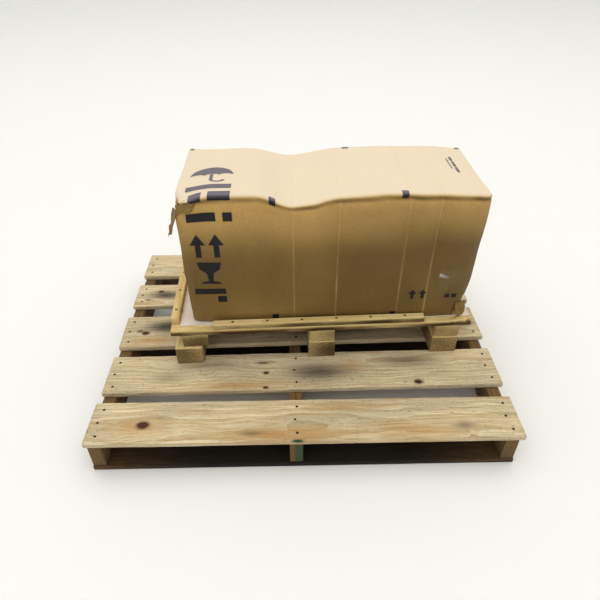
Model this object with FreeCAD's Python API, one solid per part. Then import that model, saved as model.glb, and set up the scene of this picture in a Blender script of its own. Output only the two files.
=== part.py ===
"""Air circuit breaker as delivered: screwed to a timber skid, under a corrugated carton cap, on a pallet.

Units are millimetres. The row frame has +X along the pallet's deck boards, +Y towards the back, +Z up,
and its origin in the middle of the pallet's underside. The breaker faces -Y. Every solid is one real piece,
or one group of like fasteners, and is written to parts/NODE.step.
"""

import FreeCAD
import Part

import math
import os

from FreeCAD import Vector

# ---------------------------------------------------------------- driving dimensions: pallet
PALLET_LENGTH = 1219.0
PALLET_DEPTH = 940.0
DECK_THICKNESS = 18.0
STRINGER_HEIGHT = 84.0
STRINGER_WIDTH = 38.0
STRINGER_END_INSET = 4.0
STRINGER_INSETS = {"left": 8.0, "right": 13.0}  # outer stringers, in from the deck boards' ends
STRINGER_MIDDLE_OFFSET = -24.0
BOTTOM_THICKNESS = 15.0
BOTTOM_WIDTH = 98.0
BOTTOM_COUNT = 3
BOTTOM_OVERHANG = 1.0
DECK_WIDTHS = (148.0, 157.0, 157.0, 131.0, 150.0)  # front board first
DECK_SHIFTS = (0.0, -0.13, -0.1, -0.09, 0.0)  # off an even spacing, as shares of the gap between boards
DECK_DRIFTS = (0.0, 0.14, 0.28, 0.06, 0.0)  # how far a board's end has drifted, as a share of that gap
DECK_SHORTFALLS = (0.0, 6.0, 7.0, 4.0, 5.0)  # how much shorter than the pallet each board is

# ---------------------------------------------------------------- driving dimensions: fasteners
NAIL_HEAD_RADIUS = 4.0
NAIL_HEAD_THICKNESS = 1.2
NAIL_SHANK_RADIUS = 1.6
NAIL_BITE = 30.0  # how far a shank goes into the timber below
NAIL_EDGE = 27.0  # outer nails, in from a deck board's edge
NAIL_STAGGER = 6.0
NAIL_RECESS = 1.0  # heads under the pallet, above the floor
FOOT_SCREW_RADIUS = 5.0
FOOT_SCREW_CLEARANCE = 0.5
FOOT_SCREW_HEAD = 17.0
FOOT_SCREW_HEAD_HEIGHT = 6.4
FOOT_WASHER_RADIUS = 10.0
FOOT_WASHER_THICKNESS = 2.0
STAPLE_WIDTH = 14.0
STAPLE_WIRE = 1.4
STAPLES_PER_TAB = 5

# ---------------------------------------------------------------- driving dimensions: skid
SKID_YAW = 2.0  # degrees, how far out of square it stands on the pallet
SKID_OFFSET_X = 62.0  # from the middle of the pallet
SKID_OFFSET_Y = 53.0
RUNNER_WIDTH = 84.0
RUNNER_HEIGHT = 66.0
RUNNER_SLIP_X = 24.0  # the left runner has slipped outwards and forwards under its bearer
RUNNER_SLIP_Y = 7.0
RUNNER_END_INSET = 3.0
BEARER_WIDTH = 79.0
BEARER_HEIGHT = 46.0
BEARER_INSET = 32.0
SKID_BOARD_COUNT = 4
SKID_BOARD_WIDTH = 95.0
SKID_BOARD_THICKNESS = 20.0
RAIL_MARGIN_LEFT = 130.0
RAIL_MARGIN_RIGHT = 150.0
RAIL_WIDTH = 22.0
RAIL_HEIGHT = 21.0
RAIL_NAILS = 6
RAIL_NAIL_MARGIN = 60.0
BATTEN_WIDTH = 25.0
BATTEN_HEIGHT = 23.0
BATTEN_MARGIN_FRONT = 35.0
BATTEN_MARGIN_BACK = 104.0
BATTEN_NAILS = 3
BATTEN_NAIL_MARGIN = 44.0
SHEET_THICKNESS = 3.0
SHEET_GAP = 2.0

# ---------------------------------------------------------------- driving dimensions: carton
CARTON_WALL = 7.0
CARTON_FOLD_RADIUS = 8.0
CARTON_YAW = -1.0  # degrees, turned on the skid
CARTON_GAP_LEFT = 44.0  # to the batten
CARTON_GAP_RIGHT = 20.0  # to the end of the skid
CARTON_GAP_FRONT = 14.6  # to the rails
CARTON_GAP_BACK = 33.4
TAB_WIDTH = 62.0
POST_LEG = 40.0
POST_WALL = 4.0
PAD_THICKNESS = 34.0
PAD_MARGIN = 26.0
PAD_FILLET = 3.0
POUCH_LENGTH = 84.0
POUCH_HEIGHT = 78.0
POUCH_THICKNESS = 0.6
POUCH_FROM_RIGHT = 18.0
POUCH_FROM_BOTTOM = 100.0

# ---------------------------------------------------------------- driving dimensions: breaker
CASE_WIDTH = 738.0
CASE_HEIGHT = 322.0
CASE_LIFT = 14.0  # above its feet
REAR_DEPTH = 130.0  # pole housing, behind the plane where the case splits
FRONT_DEPTH = 128.0  # front cover, ahead of that plane
CASE_WALL = 8.0
COVER_WALL = 4.0
COVER_FILLET = 6.0
PHASE_COUNT = 3
PLATE_THICKNESS = 3.0
PLATE_INSET = 22.0  # side plates, in from the case's front and back
LUG_RADIUS = 16.0
LUG_EYE_RADIUS = 8.0
FOOT_WIDTH = 30.0
FOOT_THICKNESS = 5.0
FOOT_SCREW_INSET = 36.0  # from the ends of the feet
LOAD_GAP_SIDE = 2.6  # feet to the carton's corner tabs
LOAD_GAP_FRONT = 15.5  # trip unit cover to the carton
LOAD_GAP_BACK = 13.0  # terminals to the carton
LOAD_GAP_TOP = 13.0  # lifting lugs to the top pad
CHUTE_HEIGHT = 96.0
CHUTE_DEPTH = 92.0
CHUTE_RISE = 4.0
CHUTE_SLOTS = 11
CHUTE_SLOT_WIDTH = 5.0
CHUTE_RIM = 10.0
TERMINAL_WIDTH = 150.0
TERMINAL_THICKNESS = 16.0
TERMINAL_REACH = 20.0
TERMINAL_INSIDE = 26.0
TERMINAL_HOLE_RADIUS = 6.5
TERMINAL_HOLE_SPACING = 90.0
UPPER_TERMINAL_HEIGHT = 190.0
LOWER_TERMINAL_HEIGHT = 70.0
CONTACT_PAD_DEPTH = 8.0
CONTACT_PAD_HEIGHT = 26.0
SENSOR_RIM = 13.0
SENSOR_LENGTH = 18.0
SHAFT_RADIUS = 11.0
SHAFT_HEIGHT = 128.0
SHAFT_FROM_SPLIT = 44.0
SHAFT_CLEARANCE = 0.06
HUB_WALL = 8.0
FINGER_COUNT = 6
FINGER_GAP = 1.2
FINGER_THICKNESS = 12.0
FINGER_LENGTH = 78.0
FINGER_TIP = 22.0
FINGER_OFFSET = 4.0
CONTACT_WIDTH = 132.0
CONTACT_SWING = 38.0  # degrees between closed and open
CONTACT_GAP_CLOSED = 0.6
FASCIA_WIDTH = 300.0
FASCIA_HEIGHT = 250.0
FASCIA_THICKNESS = 9.0
FASCIA_FILLET = 4.0
FASCIA_LAP = 10.0  # how far it laps the front cover around its opening
TRIP_UNIT_WIDTH = 116.0
TRIP_UNIT_HEIGHT = 196.0
TRIP_UNIT_DEPTH = 40.0
TRIP_UNIT_PROUD = 1.5
TRIP_UNIT_INSET = 14.0
TRIP_COVER_HEIGHT = 94.0
TRIP_COVER_DEPTH = 7.0
TRIP_COVER_WALL = 2.2
DIAL_PITCH_X = 32.0
DIAL_PITCH_Z = 27.0
DIAL_RADIUS = 9.0
DIAL_KNOB_RADIUS = 6.5
DIAL_DEPTH = 4.0
DIAL_MARGIN = 28.0
DISPLAY_HEIGHT = 48.0
DISPLAY_DEPTH = 3.0
TRIP_UNIT_MARGIN = 14.0
TRIP_UNIT_FILLET = 2.5
TRIP_COVER_INSET = 4.0
BUTTON_WIDTH = 40.0
BUTTON_HEIGHT = 30.0
BUTTON_INSET = 62.0
BUTTON_PROUD = 2.0
BUTTON_SKIRT = 2.0  # left behind the fascia's face when the button is pressed home
BUTTON_STEM_RADIUS = 4.0
BUTTON_STEM_LENGTH = 13.0
BUTTON_HEIGHTS = {"on_button": 105.0, "off_button": 155.0}  # above the fascia's lower edge
BUTTON_CLEARANCE = 0.4
BUTTON_TRAVEL = 4.0
WINDOW_WIDTH = 32.0
WINDOW_HEIGHT = 18.0
FLAG_RADIUS = 16.0
FLAG_WIDTH = 36.0
FLAG_AXLE_RADIUS = 3.0
FLAG_EAR = 4.0
FLAG_EAR_HALF = 6.0
FLAG_HEIGHTS = {"contact_flag": 62.0, "charge_flag": 195.0}  # above the fascia's lower edge
HANDLE_WIDTH = 26.0
HANDLE_GAP = 18.0
HANDLE_MARGIN = 22.0
HANDLE_HUB_RADIUS = 16.0
HANDLE_GRIP_DEPTH = 18.0
HANDLE_PROUD = 3.0
HANDLE_FILLET = 4.0
HANDLE_ARM_HEIGHT = 26.0
CHARGING_RADIUS = 7.0
CHARGING_HEIGHT = 62.0  # above the fascia's lower edge
CHARGING_DEPTH = 62.0  # behind the front cover's face
RATCHET_TEETH = 18
RATCHET_ROOT = 19.0
RATCHET_TIP = 23.0
RATCHET_WIDTH = 8.0
MECHANISM_PLATE = 4.0
MECHANISM_MARGIN = 36.0
TIE_ROD_RADIUS = 5.0
TIE_ROD_INSET = 12.0
SPRING_WIRE = 3.2
SPRING_RADIUS = 17.0
SPRING_TURNS = 9
SPRING_LENGTH = 118.0
SPRING_HEIGHT = 86.0  # its lower bracket, above the case's underside
SPRING_FROM_SPLIT = 34.0
BRACKET_THICKNESS = 4.0
COIL_SIZE = 30.0
COIL_LENGTH = 46.0
PLUNGER_RADIUS = 5.0
PLUNGER_REACH = 13.0
AUXILIARY_WIDTH = 48.0
AUXILIARY_DEPTH = 40.0
AUXILIARY_HEIGHT = 66.0
AUXILIARY_RISE = 60.0
AUXILIARY_TAGS = 6
CONTROL_STRIP_DEPTH = 40.0
CONTROL_STRIP_HEIGHT = 12.0
CONTROL_STRIP_MARGIN = 66.0
CONTROL_STRIP_SETBACK = 22.0
CONTROL_WAYS = 24
RIB_COUNT = 5
RIB_PITCH = 26.0
RIB_MARGIN = 40.0
RIB_WIDTH = 6.0
RIB_HEIGHT = 2.5
PIECE_CLEARANCE = 0.4

# ---------------------------------------------------------------- places worked out from those sizes
UP = Vector(0, 0, 1)
ALONG = Vector(1, 0, 0)
BACK = Vector(0, 1, 0)
ORIGIN = Vector(0, 0, 0)

DECK_BASE = BOTTOM_THICKNESS + STRINGER_HEIGHT
PALLET_TOP = DECK_BASE + DECK_THICKNESS
BEARER_BASE = PALLET_TOP + RUNNER_HEIGHT
SKID_BOARD_BASE = BEARER_BASE + BEARER_HEIGHT
SKID_TOP = SKID_BOARD_BASE + SKID_BOARD_THICKNESS
LOAD_BASE = SKID_TOP + SHEET_THICKNESS

CASE_HALF = CASE_WIDTH / 2
CASE_TOP = CASE_LIFT + CASE_HEIGHT
PLATE_INNER = CASE_HALF + PIECE_CLEARANCE
FOOT_OUTER = PLATE_INNER + PLATE_THICKNESS + FOOT_WIDTH
LUG_CENTRE = CASE_TOP + LUG_EYE_RADIUS
LUG_TOP = LUG_CENTRE + LUG_RADIUS
FASCIA_FRONT = -FRONT_DEPTH - FASCIA_THICKNESS
TRIP_UNIT_FRONT = FASCIA_FRONT - TRIP_UNIT_PROUD
BREAKER_FRONT = TRIP_UNIT_FRONT - TRIP_COVER_DEPTH
BREAKER_BACK = REAR_DEPTH + TERMINAL_REACH

CARTON_LENGTH = 2 * (FOOT_OUTER + LOAD_GAP_SIDE + 2 * CARTON_WALL)
CARTON_DEPTH = BREAKER_BACK - BREAKER_FRONT + LOAD_GAP_FRONT + LOAD_GAP_BACK + 2 * CARTON_WALL
CARTON_HEIGHT = LUG_TOP + LOAD_GAP_TOP + PAD_THICKNESS + CARTON_WALL
INNER_LEFT = CARTON_WALL
INNER_RIGHT = CARTON_LENGTH - CARTON_WALL
INNER_FRONT = CARTON_WALL
INNER_BACK = CARTON_DEPTH - CARTON_WALL
INNER_TOP = CARTON_HEIGHT - CARTON_WALL
PAD_BASE = INNER_TOP - PAD_THICKNESS
SPLIT_PLACE = Vector(CARTON_LENGTH / 2, CARTON_WALL + LOAD_GAP_FRONT - BREAKER_FRONT, 0)

SKID_LENGTH = BATTEN_WIDTH + CARTON_GAP_LEFT + CARTON_LENGTH + CARTON_GAP_RIGHT
SKID_DEPTH = CARTON_DEPTH + 2 * RAIL_WIDTH + CARTON_GAP_FRONT + CARTON_GAP_BACK
SKID_CORNER = Vector(SKID_OFFSET_X - SKID_LENGTH / 2, SKID_OFFSET_Y - SKID_DEPTH / 2, 0)
CARTON_CORNER = Vector(BATTEN_WIDTH + CARTON_GAP_LEFT, RAIL_WIDTH + CARTON_GAP_FRONT, LOAD_BASE)

STRINGER_CENTRES = {
    "left": STRINGER_INSETS["left"] + STRINGER_WIDTH / 2 - PALLET_LENGTH / 2,
    "middle": STRINGER_MIDDLE_OFFSET,
    "right": PALLET_LENGTH / 2 - STRINGER_WIDTH / 2 - STRINGER_INSETS["right"],
}
BEARER_CENTRES = {
    "left": BEARER_INSET + BEARER_WIDTH / 2,
    "middle": SKID_LENGTH / 2,
    "right": SKID_LENGTH - BEARER_INSET - BEARER_WIDTH / 2,
}

PHASE_PITCH = (CASE_WIDTH - CASE_WALL) / PHASE_COUNT
CHAMBER_WIDTH = PHASE_PITCH - CASE_WALL
CHAMBER_BACK = REAR_DEPTH - CASE_WALL
PHASE_CENTRES = [PHASE_PITCH * (number - (PHASE_COUNT - 1) / 2) for number in range(PHASE_COUNT)]
UPPER_TERMINAL = CASE_LIFT + UPPER_TERMINAL_HEIGHT
LOWER_TERMINAL = CASE_LIFT + LOWER_TERMINAL_HEIGHT
TERMINAL_FRONT = CHAMBER_BACK - TERMINAL_INSIDE
CONTACT_FACE = TERMINAL_FRONT - CONTACT_PAD_DEPTH
SHAFT_CENTRE = Vector(0, SHAFT_FROM_SPLIT, CASE_LIFT + SHAFT_HEIGHT)

FASCIA_LEFT = -FASCIA_WIDTH / 2
FASCIA_RIGHT = FASCIA_WIDTH / 2
FASCIA_BASE = CASE_LIFT + (CASE_HEIGHT - FASCIA_HEIGHT) / 2
FASCIA_TOP = FASCIA_BASE + FASCIA_HEIGHT
TRIP_LEFT = FASCIA_LEFT + TRIP_UNIT_INSET
TRIP_RIGHT = TRIP_LEFT + TRIP_UNIT_WIDTH
TRIP_BASE = FASCIA_BASE + (FASCIA_HEIGHT - TRIP_UNIT_HEIGHT) / 2
TRIP_TOP = TRIP_BASE + TRIP_UNIT_HEIGHT
DIAL_BASE = TRIP_BASE + DIAL_MARGIN
HANDLE_LEFT = TRIP_RIGHT + HANDLE_GAP
HANDLE_RIGHT = HANDLE_LEFT + HANDLE_WIDTH
CHARGING_CENTRE = Vector(0, CHARGING_DEPTH - FRONT_DEPTH, FASCIA_BASE + CHARGING_HEIGHT)
CONTROL_CENTRE = FASCIA_RIGHT - BUTTON_INSET
BUTTON_DEPTH = BUTTON_PROUD + FASCIA_THICKNESS + BUTTON_TRAVEL + BUTTON_SKIRT
FLAG_PLACE = FLAG_RADIUS + COVER_WALL - FRONT_DEPTH
MECHANISM_HALF = PHASE_PITCH / 2
MECHANISM_FRONT = TRIP_UNIT_DEPTH + COVER_WALL - FRONT_DEPTH
SPRING_CENTRE = Vector(-MECHANISM_HALF * 0.45, -SPRING_FROM_SPLIT, CASE_LIFT + SPRING_HEIGHT)


# ---------------------------------------------------------------- helpers
def block(x0, x1, y0, y1, z0, z1):
    """Box between two opposite corners, given in any order."""
    low = Vector(min(x0, x1), min(y0, y1), min(z0, z1))
    return Part.makeBox(abs(x1 - x0), abs(y1 - y0), abs(z1 - z0), low)


def rod(radius, length, start, axis=UP):
    return Part.makeCylinder(radius, length, start, axis)


def fuse(shapes):
    """One solid from pieces that overlap or share a face."""
    whole = shapes[0]
    for shape in shapes[1:]:
        whole = whole.fuse(shape)
    return whole.removeSplitter()


def cut_all(shape, tools):
    for tool in tools:
        shape = shape.cut(tool)
    return shape


def soften(shape, radius, wanted):
    """Fillet the edges whose bounding box passes the test."""
    return shape.makeFillet(radius, [edge for edge in shape.Edges if wanted(edge.BoundBox)])


def turned(shape, centre, degrees, axis=UP):
    copy = shape.copy()
    copy.rotate(centre, axis, degrees)
    return copy


def on_skid(shape):
    """From the skid's frame, with its origin at the front left corner, to the row frame."""
    return turned(shape.translated(SKID_CORNER), SKID_CORNER, SKID_YAW)


def on_carton(shape):
    """From the carton's frame, with its origin at the bottom front left corner, to the row frame."""
    return on_skid(turned(shape.translated(CARTON_CORNER), CARTON_CORNER, CARTON_YAW))


def on_breaker(shape):
    """From the breaker's frame, with its origin under the middle of its split plane, to the row frame."""
    return on_carton(shape.translated(SPLIT_PLACE))


def nail(top, grip, down=True):
    """Wire nail: top is the head's outer face, and grip the thickness of the board it passes through."""
    axis = UP * (-1 if down else 1)
    head = rod(NAIL_HEAD_RADIUS, NAIL_HEAD_THICKNESS, top, axis)
    return fuse([head, rod(NAIL_SHANK_RADIUS, grip + NAIL_BITE, top, axis)])


def write(name, shape):
    shape.exportStep("parts/" + name + ".step")


def write_group(name, shapes, place):
    """Separate solids of one kind, in one node."""
    write(name, place(Part.makeCompound(shapes)))


# ---------------------------------------------------------------- pallet
def deck_boards():
    """Each deck board's front edge, width and skew in degrees, front board first."""
    gap = (PALLET_DEPTH - sum(DECK_WIDTHS)) / (len(DECK_WIDTHS) - 1)
    front = -PALLET_DEPTH / 2
    boards = []
    for width, shift, drift in zip(DECK_WIDTHS, DECK_SHIFTS, DECK_DRIFTS):
        skew = math.degrees(math.atan2(drift * gap, PALLET_LENGTH / 2))
        boards.append((front + shift * gap, width, skew))
        front += width + gap
    return boards


def bottom_board_fronts():
    step = (PALLET_DEPTH - BOTTOM_WIDTH) / (BOTTOM_COUNT - 1)
    return [step * number - PALLET_DEPTH / 2 for number in range(BOTTOM_COUNT)]


def make_deck_boards():
    for number, (front, width, skew) in enumerate(deck_boards()):
        half = (PALLET_LENGTH - DECK_SHORTFALLS[number]) / 2
        board = block(-half, half, front, front + width, DECK_BASE, PALLET_TOP)
        write(f"deck_board_{number + 1}", turned(board, Vector(0, front + width / 2, 0), skew))


def make_stringers():
    reach = PALLET_DEPTH / 2 - STRINGER_END_INSET
    for side, centre in STRINGER_CENTRES.items():
        left = centre - STRINGER_WIDTH / 2
        stringer = block(left, left + STRINGER_WIDTH, -reach, reach, BOTTOM_THICKNESS, DECK_BASE)
        write(f"stringer_{side}", stringer)


def make_bottom_boards():
    left = STRINGER_CENTRES["left"] - STRINGER_WIDTH / 2 - BOTTOM_OVERHANG
    right = STRINGER_CENTRES["right"] + STRINGER_WIDTH / 2 + BOTTOM_OVERHANG
    for number, front in enumerate(bottom_board_fronts()):
        board = block(left, right, front, front + BOTTOM_WIDTH, 0, BOTTOM_THICKNESS)
        write(f"bottom_board_{number + 1}", board)


def make_pallet_nails():
    nails = []
    for front, width, skew in deck_boards():
        middle = Vector(0, front + width / 2, PALLET_TOP)
        for centre in STRINGER_CENTRES.values():
            for row in (-1, 0, 1):
                place = Vector(centre + NAIL_STAGGER * (abs(row) - 0.5), row * (width / 2 - NAIL_EDGE), 0)
                nails.append(turned(nail(middle + place, DECK_THICKNESS), middle, skew))
    for front in bottom_board_fronts():
        for centre in STRINGER_CENTRES.values():
            for row in (-1, 1):
                across = front + BOTTOM_WIDTH * (0.5 + row / 4)
                place = Vector(centre + row * NAIL_STAGGER, across, NAIL_RECESS)
                nails.append(nail(place, BOTTOM_THICKNESS - NAIL_RECESS, down=False))
    write("pallet_nails", Part.makeCompound(nails))


# ---------------------------------------------------------------- skid
def make_runners():
    """Front-to-back timbers: a runner that stands on the pallet under each bearer."""
    ends = (RUNNER_END_INSET, SKID_DEPTH - RUNNER_END_INSET)
    for side, centre in BEARER_CENTRES.items():
        slip = Vector(-RUNNER_SLIP_X, -RUNNER_SLIP_Y, 0) if side == "left" else ORIGIN
        left = centre - RUNNER_WIDTH / 2
        runner = block(left, left + RUNNER_WIDTH, *ends, PALLET_TOP, BEARER_BASE)
        left = centre - BEARER_WIDTH / 2
        bearer = block(left, left + BEARER_WIDTH, *ends, BEARER_BASE, SKID_BOARD_BASE)
        write(f"skid_runner_{side}", on_skid(runner.translated(slip)))
        write(f"skid_bearer_{side}", on_skid(bearer))


def skid_board_fronts():
    step = (SKID_DEPTH - SKID_BOARD_WIDTH) / (SKID_BOARD_COUNT - 1)
    return [step * number for number in range(SKID_BOARD_COUNT)]


def make_skid_boards():
    for number, front in enumerate(skid_board_fronts()):
        board = block(0, SKID_LENGTH, front, front + SKID_BOARD_WIDTH, SKID_BOARD_BASE, SKID_TOP)
        write(f"skid_board_{number + 1}", on_skid(board))


def make_rails_and_batten():
    """Rails in front of and behind the load, and a batten at its left end, that keep the carton in place."""
    ends = (RAIL_MARGIN_LEFT, SKID_LENGTH - RAIL_MARGIN_RIGHT)
    top = SKID_TOP + RAIL_HEIGHT
    for name, front in (("rail_front", 0), ("rail_back", SKID_DEPTH - RAIL_WIDTH)):
        write(name, on_skid(block(*ends, front, front + RAIL_WIDTH, SKID_TOP, top)))
    ends = (BATTEN_MARGIN_FRONT, SKID_DEPTH - BATTEN_MARGIN_BACK)
    write("batten_left", on_skid(block(0, BATTEN_WIDTH, *ends, SKID_TOP, SKID_TOP + BATTEN_HEIGHT)))


def spread(low, high, count):
    return [low + (high - low) * number / (count - 1) for number in range(count)]


def make_skid_nails():
    nails = []
    rail_top = SKID_TOP + RAIL_HEIGHT
    batten_top = SKID_TOP + BATTEN_HEIGHT
    below = SKID_BOARD_THICKNESS - NAIL_BITE - 2  # rail and batten nails stop inside the boards
    low = RAIL_MARGIN_LEFT + RAIL_NAIL_MARGIN
    high = SKID_LENGTH - RAIL_MARGIN_RIGHT - RAIL_NAIL_MARGIN
    for along in spread(low, high, RAIL_NAILS):
        for across in (RAIL_WIDTH / 2, SKID_DEPTH - RAIL_WIDTH / 2):
            nails.append(nail(Vector(along, across, rail_top), RAIL_HEIGHT + below))
    low = BATTEN_MARGIN_FRONT + BATTEN_NAIL_MARGIN
    high = SKID_DEPTH - BATTEN_MARGIN_BACK - BATTEN_NAIL_MARGIN
    for across in spread(low, high, BATTEN_NAILS):
        nails.append(nail(Vector(BATTEN_WIDTH / 2, across, batten_top), BATTEN_HEIGHT + below))
    for front in skid_board_fronts():
        for centre in BEARER_CENTRES.values():
            for row in (-1, 1):
                across = front + SKID_BOARD_WIDTH / 2 + row * (SKID_BOARD_WIDTH / 2 - NAIL_EDGE)
                place = Vector(centre + row * BEARER_WIDTH / 6, across, SKID_TOP)
                nails.append(nail(place, SKID_BOARD_THICKNESS))
    write_group("skid_nails", nails, on_skid)


def make_barrier_sheet():
    """Foam sheet between the boards and the load, inside the rails and the batten."""
    left = BATTEN_WIDTH + SHEET_GAP
    front = RAIL_WIDTH + SHEET_GAP
    sheet = block(left, SKID_LENGTH - SHEET_GAP, front, SKID_DEPTH - front, SKID_TOP, LOAD_BASE)
    write("barrier_sheet", on_skid(sheet))


# ---------------------------------------------------------------- carton
def make_carton_cap():
    """Cap folded from one sheet: a top and four walls, the long walls' tabs lapped inside the end walls."""
    outer = block(0, CARTON_LENGTH, 0, CARTON_DEPTH, 0, CARTON_HEIGHT)
    outer = soften(outer, CARTON_FOLD_RADIUS, lambda box: box.ZMax > 1)
    cap = outer.cut(block(INNER_LEFT, INNER_RIGHT, INNER_FRONT, INNER_BACK, -1, INNER_TOP))
    tabs = []
    for end, way in ((INNER_LEFT, 1), (INNER_RIGHT, -1)):
        for corner, turn in ((INNER_FRONT, 1), (INNER_BACK, -1)):
            tabs.append(block(end, end + way * CARTON_WALL, corner, corner + turn * TAB_WIDTH, 0, INNER_TOP))
    write("carton_cap", on_carton(fuse([cap] + tabs)))


def make_corner_posts():
    """Board angle in each corner, between the sheet below and the cap's top."""
    inset = CARTON_WALL + PIECE_CLEARANCE
    corners = {
        "front_left": (INNER_LEFT + inset, 1, INNER_FRONT + PIECE_CLEARANCE, 1),
        "front_right": (INNER_RIGHT - inset, -1, INNER_FRONT + PIECE_CLEARANCE, 1),
        "back_left": (INNER_LEFT + inset, 1, INNER_BACK - PIECE_CLEARANCE, -1),
        "back_right": (INNER_RIGHT - inset, -1, INNER_BACK - PIECE_CLEARANCE, -1),
    }
    for name, (x, way, y, turn) in corners.items():
        across = block(x, x + way * POST_LEG, y, y + turn * POST_WALL, 1, PAD_BASE)
        along = block(x, x + way * POST_WALL, y, y + turn * POST_LEG, 1, PAD_BASE)
        write(f"corner_post_{name}", on_carton(fuse([across, along])))


def make_top_pad():
    pad = block(
        INNER_LEFT + PAD_MARGIN,
        INNER_RIGHT - PAD_MARGIN,
        INNER_FRONT + PIECE_CLEARANCE,
        INNER_BACK - PIECE_CLEARANCE,
        PAD_BASE,
        INNER_TOP,
    )
    write("top_pad", on_carton(soften(pad, PAD_FILLET, lambda box: box.ZMin < INNER_TOP - 1)))


def make_document_pouch():
    right = CARTON_LENGTH - POUCH_FROM_RIGHT
    top = POUCH_FROM_BOTTOM + POUCH_HEIGHT
    pouch = block(right - POUCH_LENGTH, right, -POUCH_THICKNESS, 0, POUCH_FROM_BOTTOM, top)
    write("document_pouch", on_carton(pouch))


def make_staples():
    """Flat wire staples that hold the tabs to the end walls, with their crowns outside."""
    staples = []
    middle = CARTON_WALL + TAB_WIDTH / 2
    for outside, way in ((0.0, 1), (CARTON_LENGTH, -1)):
        crown_face = outside - way * STAPLE_WIRE
        leg_end = outside + way * 2 * CARTON_WALL
        for across in (middle, CARTON_DEPTH - middle):
            left = across - STAPLE_WIDTH / 2
            for number in range(STAPLES_PER_TAB):
                low = CARTON_HEIGHT * (number + 1) / (STAPLES_PER_TAB + 1)
                high = low + STAPLE_WIRE
                crown = block(outside, crown_face, left, left + STAPLE_WIDTH, low, high)
                legs = [
                    block(leg_end, crown_face, start, start + STAPLE_WIRE, low, high)
                    for start in (left, left + STAPLE_WIDTH - STAPLE_WIRE)
                ]
                staples.append(fuse([crown] + legs))
    write_group("carton_staples", staples, on_carton)


# ---------------------------------------------------------------- breaker: frame and case
def foot_screw_places():
    """Where the feet are screwed down, as points on the feet's underside."""
    across = PLATE_INNER + PLATE_THICKNESS + FOOT_WIDTH / 2
    front = PLATE_INSET + FOOT_SCREW_INSET - FRONT_DEPTH
    back = REAR_DEPTH - PLATE_INSET - FOOT_SCREW_INSET
    return [Vector(way * across, along, 0) for way in (-1, 1) for along in (front, back)]


def make_side_plates():
    """Steel plates that carry the case, each with a lifting eye above and an outward foot below."""
    front = PLATE_INSET - FRONT_DEPTH
    back = REAR_DEPTH - PLATE_INSET
    radius = FOOT_SCREW_RADIUS + FOOT_SCREW_CLEARANCE
    holes = [rod(radius, FOOT_THICKNESS + 2, place - UP) for place in foot_screw_places()]
    for side, way in (("left", -1), ("right", 1)):
        inner = way * PLATE_INNER
        outer = inner + way * PLATE_THICKNESS
        low = min(inner, outer)
        plate = block(inner, outer, front, back, 0, CASE_TOP)
        foot = block(inner, way * FOOT_OUTER, front, back, 0, FOOT_THICKNESS)
        neck = block(inner, outer, -LUG_RADIUS, LUG_RADIUS, CASE_TOP - 1, LUG_CENTRE)
        lug = rod(LUG_RADIUS, PLATE_THICKNESS, Vector(low, 0, LUG_CENTRE), ALONG)
        eye = rod(LUG_EYE_RADIUS, PLATE_THICKNESS + 2, Vector(low - 1, 0, LUG_CENTRE), ALONG)
        write(f"side_plate_{side}", on_breaker(cut_all(fuse([plate, foot, neck, lug]), [eye] + holes)))


def make_foot_screws():
    """Hexagon-headed wood screws with washers, through the feet and the foam sheet into the skid's boards."""
    screws = []
    bite = SHEET_THICKNESS + SKID_BOARD_THICKNESS - 2
    radius = FOOT_SCREW_HEAD / math.sqrt(3)
    for place in foot_screw_places():
        seat = place + UP * FOOT_THICKNESS
        angles = [math.radians(60 * turn) for turn in range(7)]
        base = seat + UP * FOOT_WASHER_THICKNESS
        corners = [base + Vector(radius * math.cos(angle), radius * math.sin(angle), 0) for angle in angles]
        head = Part.Face(Part.makePolygon(corners)).extrude(UP * FOOT_SCREW_HEAD_HEIGHT)
        washer = rod(FOOT_WASHER_RADIUS, FOOT_WASHER_THICKNESS, seat)
        shank = rod(FOOT_SCREW_RADIUS, bite + FOOT_THICKNESS + FOOT_WASHER_THICKNESS, place - UP * bite)
        screws.append(fuse([washer, head, shank]))
    write_group("foot_screws", screws, on_breaker)


def make_pole_housing():
    """Moulded rear half: one chamber per phase, open above for its arc chute and open in front."""
    housing = block(-CASE_HALF, CASE_HALF, 0, REAR_DEPTH, CASE_LIFT, CASE_TOP)
    gap = PIECE_CLEARANCE
    for centre in PHASE_CENTRES:
        left = centre - CHAMBER_WIDTH / 2
        housing = housing.cut(
            block(left, left + CHAMBER_WIDTH, -1, CHAMBER_BACK, CASE_LIFT + CASE_WALL, CASE_TOP + 1)
        )
        left = centre - TERMINAL_WIDTH / 2 - gap
        right = centre + TERMINAL_WIDTH / 2 + gap
        for low in (UPPER_TERMINAL, LOWER_TERMINAL):
            high = low + TERMINAL_THICKNESS + gap
            housing = housing.cut(block(left, right, CHAMBER_BACK - 1, REAR_DEPTH + 1, low, high))
    reach = CASE_HALF - CASE_WALL / 2
    bore = rod(SHAFT_RADIUS + SHAFT_CLEARANCE, 2 * reach, SHAFT_CENTRE - ALONG * reach, ALONG)
    write("pole_housing", on_breaker(housing.cut(bore)))


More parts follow.
